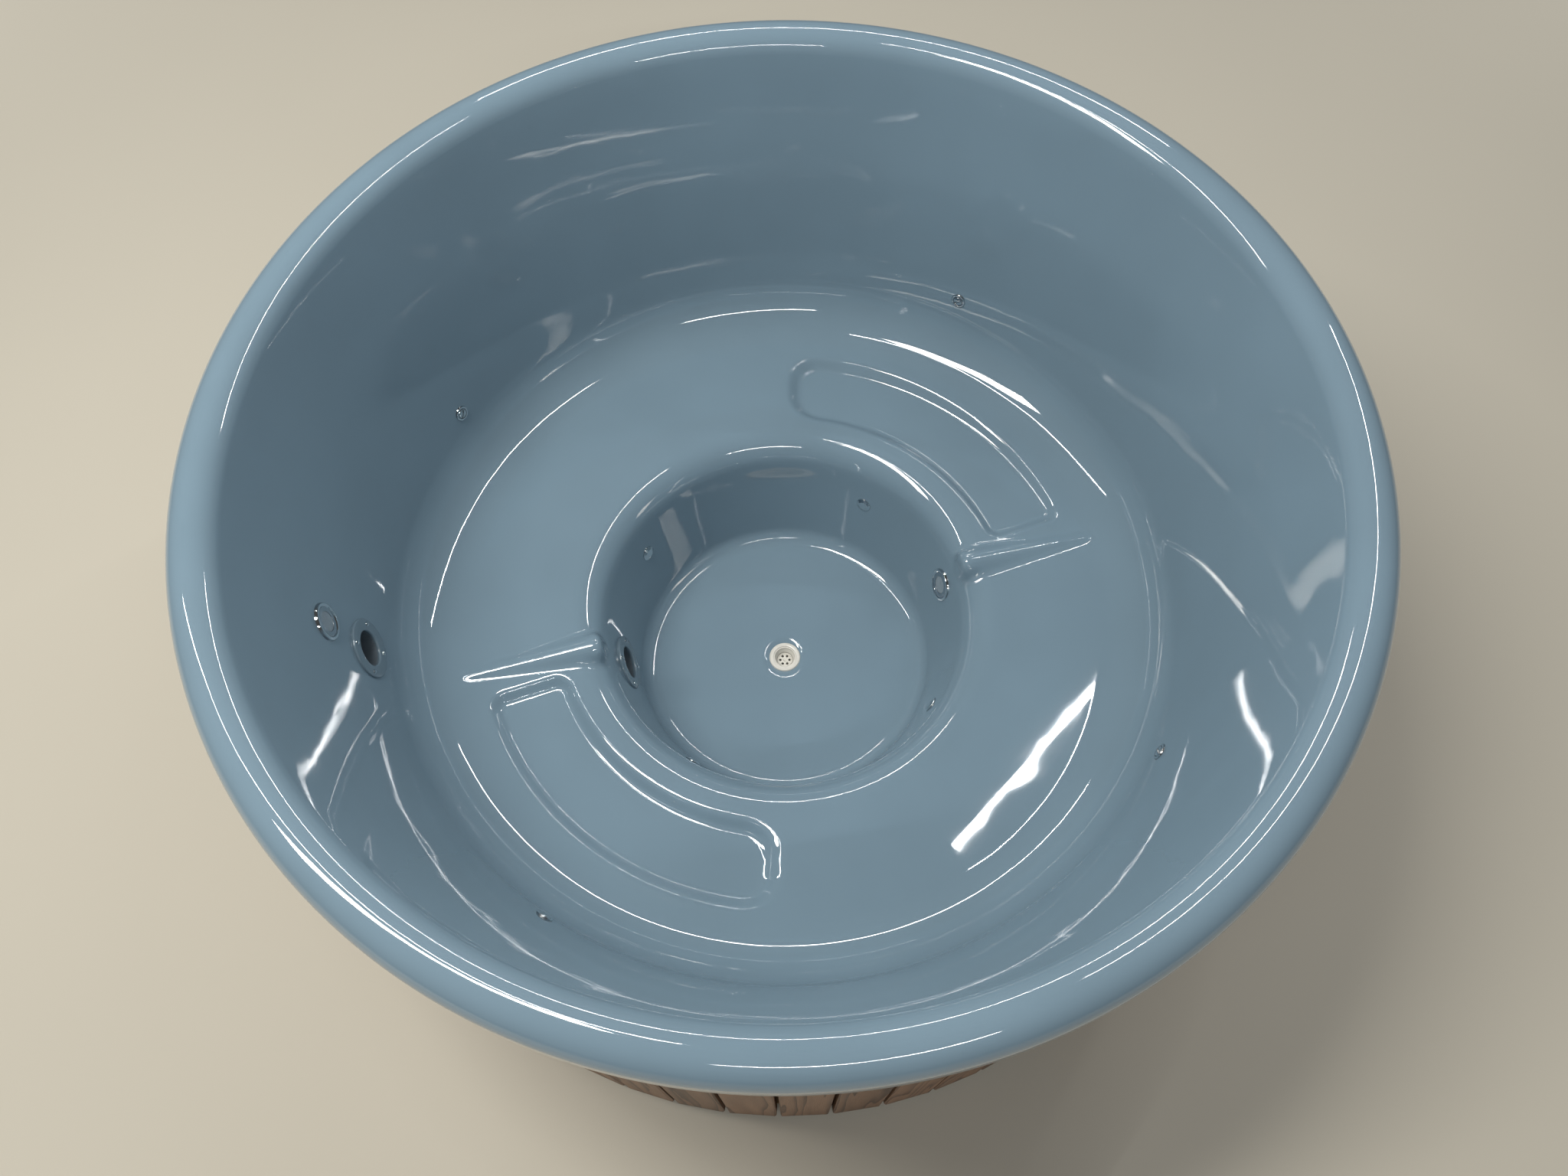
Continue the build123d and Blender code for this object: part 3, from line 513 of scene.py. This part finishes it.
def section(corners, steps=5):
    """A turned piece's section from (radius, height, rounding) corners in millimetres. Corners with no
    rounding stay sharp and are doubled a hair apart, so that shading breaks there."""
    points = np.array([c[:2] for c in corners], float)
    line = []
    for i, (_, _, radius) in enumerate(corners):
        if radius and 0 < i < len(corners) - 1:
            line.append(arc(points[i - 1], points[i], points[i + 1], radius, steps))
        else:
            before, after = points[max(i - 1, 0)], points[min(i + 1, len(points) - 1)]
            ends = [points[i]]
            if 0 < i < len(points) - 1:
                ends = [
                    points[i] + (before - points[i]) / max(np.linalg.norm(before - points[i]), 1e-9) * HAIR,
                    points[i] + (after - points[i]) / max(np.linalg.norm(after - points[i]), 1e-9) * HAIR,
                ]
            line.append(np.array(ends))
    return np.concatenate(line)


def turned(line, place, sides=64):
    """The section carried round the local Z axis: x = r cos t, y = r sin t, z = height, then put in place."""
    t = np.linspace(0, 2 * math.pi, sides, endpoint=False)
    r, z = line[:, :1], line[:, 1:]
    local = np.stack([r * np.cos(t), r * np.sin(t), np.broadcast_to(z, (len(line), sides))], -1)
    return put(local, place), quads(len(line), sides)


def put(local, place):
    """Local millimetres to the frame's metres: turned by the place's axes, then moved to its origin."""
    return (local @ place[:3, :3].T + place[:3, 3]) * MM


def wall_place(azimuth, height, wall):
    """Place on a leaning wall, in millimetres: Z into the bath, Y up the wall, X along it."""
    radius, lean = WALLS[wall]
    a, b = math.radians(azimuth), math.radians(lean)
    at = radius + (height - BENCH_Z) * math.tan(b)
    ca, sa, cb, sb = math.cos(a), math.sin(a), math.cos(b), math.sin(b)
    out = np.eye(4)
    z_axis = np.array([-cb * ca, -cb * sa, sb])
    x_axis = np.array([sa, -ca, 0.0])
    out[:3, 0], out[:3, 1], out[:3, 2] = x_axis, np.cross(z_axis, x_axis), z_axis
    out[:3, 3] = at * ca, at * sa, height
    return out


# Liner
def liner_line():
    """The liner's section from the hem over the lip to the drain hole, in millimetres, with the direction
    square to it: straight runs joined by roundings that both runs meet squarely."""
    size = sizes()
    back_top = BENCH_R + (HEIGHT - BENCH_Z) * math.tan(math.radians(BACK_LEAN))
    floor_r = WELL_R - (BENCH_Z - FLOOR_Z) * math.tan(math.radians(WELL_LEAN))
    corners = np.array(
        [
            (RIM_R, HEM_Z), (RIM_R, HEIGHT), (back_top, HEIGHT), (BENCH_R, BENCH_Z),
            (WELL_R, BENCH_Z), (floor_r, FLOOR_Z), (DRAIN_HOLE_R, FLOOR_Z),
        ]
    )
    radii = [r / MM for r in (size.lip_round, size.lip_round, size.bench_round, size.well_edge_round,
                              size.floor_round)]
    turns = [14, 14, 18, 14, 10]
    runs = [2, 1, 14, 50, 12, 8]
    # The runs that a flange stands on have a row at its height and at each end of its opening
    stops = {2: FLANGES[0][1], 4: FLANGES[1][1]}
    arcs = [
        arc(*corners[i : i + 3], radius, count) for i, (radius, count) in enumerate(zip(radii, turns))
    ]
    ends = [corners[:1], *arcs, corners[-1:]]
    line = []
    for i, count in enumerate(runs):
        start, end = ends[i][-1], ends[i + 1][0]
        share = np.linspace(0, 1, count + 1)
        if i in stops:
            middle = (start[1] - stops[i]) / (start[1] - end[1])
            reach = FLANGE_HOLE_HIGH / np.linalg.norm(end - start)
            share = share[np.abs(share - middle) > reach + 0.01]
            share = np.sort(np.concatenate([share, [middle - reach, middle, middle + reach]]))
        line.append((start + (end - start) * share[:, None])[:-1])
        line.append(ends[i + 1][:-1] if i < len(arcs) else ends[i + 1])
    line = np.concatenate(line)
    along = np.gradient(line, axis=0)
    square = np.stack([along[:, 1], -along[:, 0]], -1)
    return line, square / np.linalg.norm(square, axis=1, keepdims=True)


def column_azimuths():
    """Azimuths of the liner's columns, crowded near the two ribs: the even angle less a share of the sine of
    twice its distance from a rib."""
    even = np.linspace(0, 2 * math.pi, COLUMNS, endpoint=False)
    rib = math.radians(RIB_AZIMUTHS[0])
    return even - COLUMN_CROWDING * np.sin(2 * (even - rib)) / 2


def seat_depth(radius, azimuth):
    """How far the two seats sink the bench, in millimetres: the whole depth, eased in over the slope's width
    by the distance inside a ring sector with rounded corners."""
    depth = np.zeros_like(radius)
    slope = sizes().seat_slope / MM
    for rib in RIB_AZIMUTHS:
        middle = math.radians(rib + SEAT_FROM_RIB)
        turn = (azimuth - middle + math.pi) % (2 * math.pi) - math.pi
        along = turn * radius
        across = np.abs(radius - SEAT_MIDDLE_R)
        corner = np.where(turn > 0, SEAT_FAR_CORNER, SEAT_NEAR_CORNER)
        qx = across - SEAT_HALF_WIDE + corner
        qy = np.abs(along) - math.radians(SEAT_HALF_TURN) * radius + corner
        outside = np.hypot(np.maximum(qx, 0), np.maximum(qy, 0)) - corner
        inside = -(outside + np.minimum(np.maximum(qx, qy), 0))
        x = np.clip((inside + SEAT_EDGE_OUT) / slope, 0, 1)
        depth += SEAT_DEEP * x * x * (3 - 2 * x)
    return depth


def rib_distance(x, y, z):
    """Signed distance to a rib that lies along X: a cone about a dipping axis, its flat nose rounded."""
    start = np.array([RIB_NOSE_AT, BENCH_Z + RIB_NOSE_HIGH - RIB_NOSE_R])
    end = np.array([RIB_POINT_AT, BENCH_Z - RIB_POINT_R])
    length = np.linalg.norm(end - start)
    axis = (end - start) / length
    t = (x - start[0]) * axis[0] + (z - start[1]) * axis[1]
    q = np.hypot((x - start[0]) * axis[1] - (z - start[1]) * axis[0], y)
    slope = (RIB_NOSE_R - RIB_POINT_R) / length
    side = (q - (RIB_NOSE_R - slope * t)) / math.hypot(1, slope) + RIB_EDGE_ROUND
    nose = -t + RIB_EDGE_ROUND
    outside = np.hypot(np.maximum(side, 0), np.maximum(nose, 0)) - RIB_EDGE_ROUND
    return outside + np.minimum(np.maximum(side, nose), 0)


def raised(points, square, azimuths):
    """Height of the ribs over the turned form, square to it: each point walks in from above, by a share of
    the distance that is left to the soft union of form and rib, until none is left."""
    fillet = sizes().rib_fillet / MM
    height = np.zeros(points.shape[0:1] + azimuths.shape)
    for rib in RIB_AZIMUTHS:
        turn = (azimuths - math.radians(rib) + math.pi) % (2 * math.pi) - math.pi
        columns = np.where(np.abs(turn) < math.radians(RIB_ZONE_TURN))[0]
        zone = (points[:, 0] > RIB_ZONE_IN) & (points[:, 0] < RIB_ZONE_OUT) & (points[:, 1] > RIB_ZONE_LOW)
        rows = np.where(zone)[0]
        c, s = np.cos(turn[columns])[None, :], np.sin(turn[columns])[None, :]
        r, z = points[rows, 0][:, None], points[rows, 1][:, None]
        nr, nz = square[rows, 0][:, None], square[rows, 1][:, None]
        h = np.full((len(rows), len(columns)), WALK_FROM)
        for _ in range(WALK_STEPS):
            at = r + nr * h
            near = rib_distance(at * c, at * s, z + nz * h)
            mix = np.maximum(fillet - np.abs(h - near), 0) / fillet
            h = h - WALK_SHARE * (np.minimum(h, near) - mix * mix * fillet / 4)
        height[np.ix_(rows, columns)] = np.maximum(h, 0)
    return height


class OBJECT_OT_tub_liner(bpy.types.Operator):
    """Make the moulded liner"""

    bl_idname = "object.tub_liner"
    bl_label = "Liner"

    def execute(self, context):
        line, square = liner_line()
        azimuths = column_azimuths()
        a = azimuths[None, :]
        height = raised(line, square, azimuths)
        r = line[:, :1] + square[:, :1] * height
        z = line[:, 1:] + square[:, 1:] * height
        sunk = seat_depth(line[:, :1] + 0 * a, a + 0 * line[:, :1])
        on_bench = (np.abs(line[:, 1:] - BENCH_Z) < 0.5).astype(float)
        front = np.stack([r * np.cos(a), r * np.sin(a), z - sunk * on_bench], -1)
        bend = np.abs(np.gradient(np.unwrap(np.arctan2(square[:, 1], square[:, 0]))))
        number = np.arange(len(line))
        every = np.where(bend > LEAST_BEND, BACK_ROW_BENDING, BACK_ROW_STRAIGHT)
        wanted = (number % every == 0) | (number == len(line) - 1)
        chosen = number[wanted][::-1]
        inner = line[chosen] - square[chosen] * LAMINATE
        inner[0] = line[-1] - (0, LAMINATE)
        inner[-1] = line[0] - (LAMINATE, 0)
        rear_sink = (sunk * on_bench)[chosen]
        rear = np.stack(
            [inner[:, :1] * np.cos(a), inner[:, :1] * np.sin(a), inner[:, 1:] - rear_sink], -1
        )
        points = np.concatenate([front, rear]) * MM
        faces = quads(len(points), len(azimuths), wrap_rows=True)
        centres = points.reshape(-1, 3)[faces].mean(1) / MM
        keep = np.ones(len(faces), bool)
        for azimuth, level, wall, _ in FLANGES:
            place = wall_place(azimuth, level, wall)
            local = np.abs((centres - place[:3, 3]) @ place[:3, :3])
            keep &= ~(local < (FLANGE_HOLE_WIDE, FLANGE_HOLE_HIGH, FLANGE_HOLE_DEEP)).all(1)
        made = piece(
            "moulded_liner", [(points, faces)], [finish("gelcoat"), finish("laminate")],
            replaced=["tub_liner"], keep=keep,
        )
        row = np.arange(len(faces))[keep] // len(azimuths)
        hidden = (row >= len(line)).astype(np.int32)
        made.data.polygons.foreach_set("material_index", hidden)
        return {"FINISHED"}


# Boards and timber
def softened_copy(name, node, width, material, body="tub"):
    """A merged copy of a solid whose sharp edges are rounded to the given width in metres."""
    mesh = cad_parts[node].data.copy()
    work = bmesh.new()
    work.from_mesh(mesh)
    bmesh.ops.remove_doubles(work, verts=work.verts, dist=SOLID_MERGE)
    bmesh.ops.dissolve_limit(work, angle_limit=math.radians(1), verts=work.verts, edges=work.edges)
    work.to_mesh(mesh)
    work.free()
    mesh.materials.clear()
    mesh.materials.append(material)
    mesh.polygons.foreach_set("use_smooth", np.full(len(mesh.polygons), False))
    made = bpy.data.objects.new(name, mesh)
    bpy.context.scene.collection.objects.link(made)
    edges = made.modifiers.new("rounded edges", "BEVEL")
    edges.width, edges.segments = width, 2
    edges.limit_method, edges.angle_limit = "ANGLE", math.radians(30)
    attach(made, body)
    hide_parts(node)


def paint(node, material):
    """Gives a solid that stays in view its finish."""
    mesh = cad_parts[node].data
    mesh.materials.clear()
    mesh.materials.append(material)


class OBJECT_OT_tub_boards(bpy.types.Operator):
    """Make the upright cladding boards"""

    bl_idname = "object.tub_boards"
    bl_label = "Boards"

    def execute(self, context):
        softened_copy(
            "upright_boards", "cladding_boards", sizes().board_arris, finish("boards")
        )
        return {"FINISHED"}


class OBJECT_OT_tub_timber(bpy.types.Operator):
    """Finish the hidden wooden frame and its pads"""

    bl_idname = "object.tub_timber"
    bl_label = "Timber frame"

    def execute(self, context):
        for node in ("hoop_base", "hoop_middle", "hoop_upper", "floor_board"):
            paint(node, finish("plywood"))
        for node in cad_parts:
            if node.startswith(("joist", "studs", "bench_post")):
                paint(node, finish("pine"))
        paint("foot_pads", finish("rubber"))
        return {"FINISHED"}


# Fittings: sections are (radius, height, rounding) in millimetres, from the wall's face into the bath
FLANGE_BORE_R, FLANGE_R, FLANGE_FOOT = 34.5, 59, -4
SCREW_TURNS, SCREW_TURN_START, SCREW_CIRCLE_R = (0, 90, 180, 270), 8, 48.5
SCREW_R, SCREW_HIGH, SCREW_SUNK = 5, 2.6, 0.1
BEZEL_SECTION = (
    (28, -3, 0), (28, 4.2, 0.8), (30.5, 5.9, 1.2), (35, 5.9, 2.4), (37, 0.5, 1.0), (37, -3, 0), (28, -3, 0),
)
SEAT_RING_SECTION = ((19.2, 2.9, 0), (19.2, 4.3, 0.5), (27.9, 4.3, 0.3), (27.9, 2.9, 0), (19.2, 2.9, 0))
JET_TAIL = ((12.7, 0.2, 0), (12.7, -50, 1.5), (0, -50, 0))
JET_BODY_SECTION = (
    (0, -6, 0), (11.4, -6, 0), (11.4, 3.4, 0.8), (15.6, 3.4, 1.6), (17, 0.2, 0.4), *JET_TAIL,
)
JET_CAP_SECTION = (
    (0, 4.5, 0), (9.5, 4.5, 2.5), (13, 3.0, 1.5), (16.8, 1.6, 0.9), (17, 0.2, 0.2), *JET_TAIL,
)
DRAIN_RIM_SECTION = (
    (18.25, -15.2, 0), (18.6, -12, 0.8), (26.2, 2.4, 1.4), (29, 3.0, 1.0), (33.4, 2.9, 1.2),
    (35.4, 0.25, 0.4), (35.2, 0.1, 0), (25.9, 0.1, 0), (18.25, -15.4, 0), (18.25, -15.2, 0),
)
DRAIN_HUB_SECTION = ((0, -14.6, 0), (2.6, -14.6, 0.8), (3.6, -16.1, 0), (0, -16.1, 0))
DRAIN_RING_SECTION = (
    (14.6, -16.1, 0), (15.2, -15.1, 0.4), (16.8, -15.1, 0.4), (17.4, -16.1, 0), (14.6, -16.1, 0),
)
LEVER_EDGE_ROUND = 0.0009


class OBJECT_OT_tub_heater_ports(bpy.types.Operator):
    """Make the two heater flanges with their screws, and finish their pipes"""

    bl_idname = "object.tub_heater_ports"
    bl_label = "Heater ports"

    def execute(self, context):
        plates, screws = [], []
        for azimuth, level, wall, proud in FLANGES:
            place = wall_place(azimuth, level, wall)
            foot = (FLANGE_BORE_R, FLANGE_FOOT, 0)
            line = section(
                [foot, (FLANGE_BORE_R, proud, 3.2), (FLANGE_R, proud, 2.2), (FLANGE_R, FLANGE_FOOT, 0), foot]
            )
            plates.append(turned(line, place, 96))
            for turn in SCREW_TURNS:
                t = math.radians(turn + SCREW_TURN_START)
                seat = place.copy()
                seat[:3, 3] += place[:3, :3] @ np.array(
                    [SCREW_CIRCLE_R * math.cos(t), SCREW_CIRCLE_R * math.sin(t), proud - SCREW_SUNK]
                )
                rise = np.linspace(0, math.pi / 2, 7)
                dome = np.stack([SCREW_R * np.cos(rise), SCREW_HIGH * np.sin(rise)], -1)
                screws.append(turned(np.concatenate([[(0, -0.5), (SCREW_R, -0.5)], dome]), seat, 20))
        piece("heater_flange_plates", plates, [finish("flange")], replaced=["heater_flanges"],
              merge=True)
        piece("flange_screws", screws, [finish("chrome")], merge=True)
        paint("heater_pipes", finish("grey"))
        paint("flange_back_rings", finish("grey"))
        return {"FINISHED"}


class OBJECT_OT_tub_lights(bpy.types.Operator):
    """Make the two underwater lights"""

    bl_idname = "object.tub_lights"
    bl_label = "Lights"

    def execute(self, context):
        rims, seats, lenses = [], [], []
        for azimuth, level, wall in LIGHTS:
            place = wall_place(azimuth, level, wall)
            rims.append(turned(section(BEZEL_SECTION), place, 96))
            seats.append(turned(section(SEAT_RING_SECTION), place, 96))
            lenses.append(lens_face(place))
        piece("light_bezel_rims", rims, [finish("chrome")], replaced=["light_bezels"],
              merge=True)
        piece("light_seat_rings", seats, [finish("satin")], merge=True)
        piece("light_lens_faces", lenses, [finish("lens")], merge=True)
        paint("light_lamps", finish("lens"))
        paint("light_nuts", finish("grey"))
        return {"FINISHED"}


def lens_face(place, flutes=36):
    """A lens disc: a dish that rises with the square of the radius, flutes that are a cosine of the angle and
    fade out towards the middle, and rings that are a cosine of the radius, added up."""
    t = np.linspace(0, 2 * math.pi, 4 * flutes, endpoint=False)[None, :]
    r = np.concatenate([[0.0], np.linspace(1.5, 17.6, 30), [18.6, 18.6]])[:, None]
    dish = 3.25 + 0.5 * (r / 18) ** 2
    flute = 0.16 * np.cos(flutes * t) * np.clip(r / 12, 0, 1)
    ring = 0.05 * np.cos(r * 4.2)
    z = dish + flute + ring
    z[-1] = 2.95
    local = np.stack([r * np.cos(t), r * np.sin(t), z + 0 * t], -1)
    return put(local, place), quads(len(r), t.size)


def nozzle_face(place, scallops=16, slot_turn=45):
    """A turning face: a low crown in the radius, its rim scalloped for grip by a cosine of the angle, and a
    slot across it with sloping sides, worked out as a depth over the face. Its spigot goes down the bore."""
    # The rim and the spigot as (radius, height) in millimetres, after the crown's own rows
    edge = [(10.1, 3.6), (10.5, 3.2), (10.7, 2.6), (10.7, 0.0), (6.3, 0.0), (6.3, -5.4), (0.0, -5.4)]
    slot_long, slot_wide, slot_deep, slot_slope = 17.0, 4.0, 3.0, 0.7
    t = np.linspace(0, 2 * math.pi, 8 * scallops, endpoint=False)[None, :]
    r = np.concatenate([np.linspace(0, 9.6, 34), [radius for radius, _ in edge]])[:, None]
    rim = 1 - 0.03 * (0.5 - 0.5 * np.cos(scallops * t)) * (r > 9.9)
    x, y = r * rim * np.cos(t), r * rim * np.sin(t)
    turn = math.radians(slot_turn)
    along, across = x * math.cos(turn) + y * math.sin(turn), y * math.cos(turn) - x * math.sin(turn)
    inside = np.minimum(slot_long / 2 - np.abs(along), slot_wide / 2 - np.abs(across))
    crown = 4.6 - 0.9 * (r / 10.7) ** 2
    z = crown - slot_deep * np.clip(inside / slot_slope + 0.5, 0, 1)
    z[-len(edge):] = [[level] for _, level in edge]
    local = np.stack([x, y, z + 0 * t], -1)
    return put(local, place), quads(len(r), t.size)


class OBJECT_OT_tub_jets(bpy.types.Operator):
    """Make the wall jets with their turning nozzles, and the footwell jets"""

    bl_idname = "object.tub_jets"
    bl_label = "Jets"

    def execute(self, context):
        body, cap = section(JET_BODY_SECTION), section(JET_CAP_SECTION)
        places = [wall_place(*spot) for spot in WALL_JETS]
        piece("wall_jet_rings", [turned(body, place) for place in places], [finish("chrome")],
              replaced=["wall_jets"], merge=True)
        for number, place in enumerate(places, 1):
            piece(f"nozzle_face_{number}", [nozzle_face(place)], [finish("chrome")], body=f"nozzle_{number}",
                  replaced=[f"jet_nozzle_{number}"], merge=True)
        caps = [turned(cap, wall_place(*spot)) for spot in WELL_JETS]
        piece("footwell_jet_caps", caps, [finish("chrome")], replaced=["well_jets"],
              merge=True)
        paint("jet_nuts", finish("grey"))
        return {"FINISHED"}


class OBJECT_OT_tub_drain(bpy.types.Operator):
    """Make the drain's rim and hub, and finish its run and tap"""

    bl_idname = "object.tub_drain"
    bl_label = "Drain"

    def execute(self, context):
        place = np.eye(4)
        place[2, 3] = FLOOR_Z
        shapes = [
            turned(section(corners), place, sides)
            for corners, sides in ((DRAIN_RIM_SECTION, 96), (DRAIN_HUB_SECTION, 32), (DRAIN_RING_SECTION, 64))
        ]
        piece("drain_rim_and_hub", shapes, [finish("white")], merge=True)
        for node in ("drain_run", "drain_strainer"):
            paint(node, finish("white"))
        paint("drain_locknut", finish("grey"))
        softened_copy(
            "tap_handle_lever", "tap_lever", LEVER_EDGE_ROUND, finish("steel"), body="drain_tap"
        )
        return {"FINISHED"}


# Stage. Lamps: name, place, the point they face, size in metres, power in watts, colour, and whether they
# show in glossy pieces
LAMPS = (
    ("key_softbox", (-1.9, -0.2, 4.8), (-0.7, 0.0, 0.3), (0.4, 2.4), 165, "#fffaf2", True),
    ("fill_softbox", (1.6, -1.8, 5.0), (0.2, 0.0, 0.4), (3.0, 3.0), 12, "#eef3ff", False),
    ("tube_left", (-1.9, 0.6, 4.3), (-0.4, 0.2, 0.4), (0.03, 3.4), 36, "#ffffff", True),
    ("tube_right", (1.9, 1.6, 4.3), (0.4, 0.2, 0.4), (0.03, 3.0), 32, "#ffffff", True),
    ("tube_far", (0.2, 3.2, 3.9), (0.0, 0.0, 0.4), (2.8, 0.03), 32, "#ffffff", True),
    ("tube_near", (0.5, -3.0, 4.2), (0.0, 0.0, 0.4), (2.2, 0.03), 24, "#ffffff", True),
    ("side_softbox", (-3.6, -3.6, 1.8), (0.0, 0.0, 0.45), (2.0, 2.0), 46, "#ffffff", False),
    ("side_softbox", (3.6, -3.6, 1.8), (0.0, 0.0, 0.45), (2.0, 2.0), 30, "#ffffff", False),
    ("side_softbox", (3.6, 3.6, 1.8), (0.0, 0.0, 0.45), (2.0, 2.0), 30, "#ffffff", False),
    ("side_softbox", (-3.6, 3.6, 1.8), (0.0, 0.0, 0.45), (2.0, 2.0), 34, "#ffffff", False),
)
FLOOR_REACH, GLOW_FROM, GLOW_TO, GLOW = 14.0, 2.7, 8.0, 0.85
BACKDROP, AIR = "#d0cdc2", "#d5d6d6"

# The photograph's view: place in metres, tilt from straight down and roll in radians, and focal length in
# pixels of an image so many pixels wide
CAMERA_PLACE, CAMERA_TILT, CAMERA_ROLL = (0.0006, -1.1381, 2.7334), 0.4615, -0.0161
SENSOR, FOCAL_PIXELS, PHOTO_WIDE = 36.0, 1640, 2048


def softbox(name, place, towards, size, power, colour, mirrored):
    """An area lamp that faces a point. One that is not mirrored leaves no patch on glossy pieces."""
    data = bpy.data.lights.new(name, "AREA")
    data.shape, data.size, data.size_y = "RECTANGLE", size[0], size[1]
    data.energy, data.color = power, linear(colour)[:3]
    made = bpy.data.objects.new(name, data)
    made.visible_camera = False
    made.visible_glossy = mirrored
    bpy.context.scene.collection.objects.link(made)
    way = Vector(np.array(towards, float) - np.array(place, float))
    made.matrix_world = Matrix.Translation(place) @ way.to_track_quat("-Z", "Y").to_matrix().to_4x4()


class OBJECT_OT_tub_stage(bpy.types.Operator):
    """Make the floor, the lamps, the world and the camera"""

    bl_idname = "object.tub_stage"
    bl_label = "Stage"

    def execute(self, context):
        scene = bpy.context.scene
        floor_mesh = bpy.data.meshes.new("studio_floor")
        corners = [(FLOOR_REACH * x, FLOOR_REACH * y, 0) for x, y in ((-1, -1), (1, -1), (1, 1), (-1, 1))]
        floor_mesh.from_pydata(corners, [], [(0, 1, 2, 3)])
        floor = bpy.data.objects.new("studio_floor", floor_mesh)
        scene.collection.objects.link(floor)
        material, tree = new_material("painted_floor")
        place = add_node(tree, "ShaderNodeTexCoord").outputs["Object"]
        clouds = add_node(tree, "ShaderNodeTexNoise", inputs={"Vector": place, "Scale": 0.8, "Detail": 2.0})
        base = colours().floor
        tone = add_node(
            tree, "ShaderNodeValToRGB", inputs={0: clouds.outputs[0]},
            stops=[(0.3, [c * 0.97 for c in base[:3]] + [1.0]), (0.7, list(base))],
        )
        # Past about three metres the floor takes on the backdrop's colour, so that no dark horizon shows
        far = add_node(tree, "ShaderNodeVectorMath", settings={"operation": "LENGTH"}, inputs={0: place})
        fade = add_node(
            tree, "ShaderNodeMapRange", settings={"interpolation_type": "SMOOTHSTEP"},
            inputs={0: far.outputs["Value"], 1: GLOW_FROM, 2: GLOW_TO, 3: 0.0, 4: GLOW},
        )
        seen = add_node(tree, "ShaderNodeLightPath")
        glow = add_node(
            tree, "ShaderNodeMath", settings={"operation": "MULTIPLY"},
            inputs={0: fade.outputs[0], 1: seen.outputs["Is Camera Ray"]},
        )
        surface_of(
            tree,
            {
                "Base Color": tone.outputs[0],
                "Roughness": 0.75,
                "Emission Color": linear(BACKDROP),
                "Emission Strength": glow.outputs[0],
            },
        )
        floor_mesh.materials.append(material)

        world = bpy.data.worlds.new("studio")
        world.use_nodes = True
        world.node_tree.nodes.clear()
        air = add_node(world.node_tree, "ShaderNodeBackground",
                       inputs={"Color": linear(AIR), "Strength": 0.1})
        backdrop = add_node(world.node_tree, "ShaderNodeBackground",
                            inputs={"Color": linear(BACKDROP), "Strength": 1.0})
        path = add_node(world.node_tree, "ShaderNodeLightPath")
        mixed = add_node(world.node_tree, "ShaderNodeMixShader",
                         inputs={0: path.outputs["Is Camera Ray"], 1: air.outputs[0], 2: backdrop.outputs[0]})
        add_node(world.node_tree, "ShaderNodeOutputWorld", inputs={"Surface": mixed.outputs[0]})
        scene.world = world

        for lamp in LAMPS:
            softbox(*lamp)

        camera_data = bpy.data.cameras.new("camera")
        camera_data.sensor_width, camera_data.lens = SENSOR, SENSOR * FOCAL_PIXELS / PHOTO_WIDE
        camera = bpy.data.objects.new("camera", camera_data)
        scene.collection.objects.link(camera)
        forward = np.array([0, math.sin(CAMERA_TILT), -math.cos(CAMERA_TILT)])
        up = np.array([0, math.cos(CAMERA_TILT), math.sin(CAMERA_TILT)])
        right = np.array([1.0, 0, 0])
        rolled_right = math.cos(CAMERA_ROLL) * right + math.sin(CAMERA_ROLL) * up
        rolled_up = math.cos(CAMERA_ROLL) * up - math.sin(CAMERA_ROLL) * right
        turn = np.eye(4)
        turn[:3, 0], turn[:3, 1], turn[:3, 2] = rolled_right, rolled_up, -forward
        turn[:3, 3] = CAMERA_PLACE
        camera.matrix_world = Matrix(turn.tolist())
        scene.camera = camera
        scene.view_settings.view_transform = "Standard"
        return {"FINISHED"}


OPERATORS = (
    OBJECT_OT_tub_liner,
    OBJECT_OT_tub_boards,
    OBJECT_OT_tub_timber,
    OBJECT_OT_tub_heater_ports,
    OBJECT_OT_tub_lights,
    OBJECT_OT_tub_jets,
    OBJECT_OT_tub_drain,
    OBJECT_OT_tub_stage,
)


class VIEW3D_PT_hot_tub(bpy.types.Panel):
    """Sizes, colours and makers of the hot tub"""

    bl_idname = "VIEW3D_PT_hot_tub"
    bl_label = "Hot tub"
    bl_space_type = "VIEW_3D"
    bl_region_type = "UI"
    bl_category = "Hot tub"

    def draw(self, context):
        for group in (context.scene.hot_tub_sizes, context.scene.hot_tub_colours):
            for name in group.__annotations__:
                self.layout.prop(group, name)
        for operator in OPERATORS:
            self.layout.operator(operator.bl_idname)


CLASSES = (HotTubSizes, HotTubColours, *OPERATORS, VIEW3D_PT_hot_tub)


def register():
    """Adds the sizes, the colours, the operators and the panel."""
    for item in CLASSES:
        bpy.utils.register_class(item)
    bpy.types.Scene.hot_tub_sizes = PointerProperty(type=HotTubSizes)
    bpy.types.Scene.hot_tub_colours = PointerProperty(type=HotTubColours)


def unregister():
    """Takes them away again."""
    del bpy.types.Scene.hot_tub_sizes
    del bpy.types.Scene.hot_tub_colours
    for item in reversed(CLASSES):
        bpy.utils.unregister_class(item)


def main():
    """Makes the stage and every piece."""
    register()
    bpy.ops.object.tub_stage()
    bpy.ops.object.tub_liner()
    bpy.ops.object.tub_boards()
    bpy.ops.object.tub_timber()
    bpy.ops.object.tub_heater_ports()
    bpy.ops.object.tub_lights()
    bpy.ops.object.tub_jets()
    bpy.ops.object.tub_drain()
    bpy.context.view_layer.update()


if __name__ == "__main__":
    main()
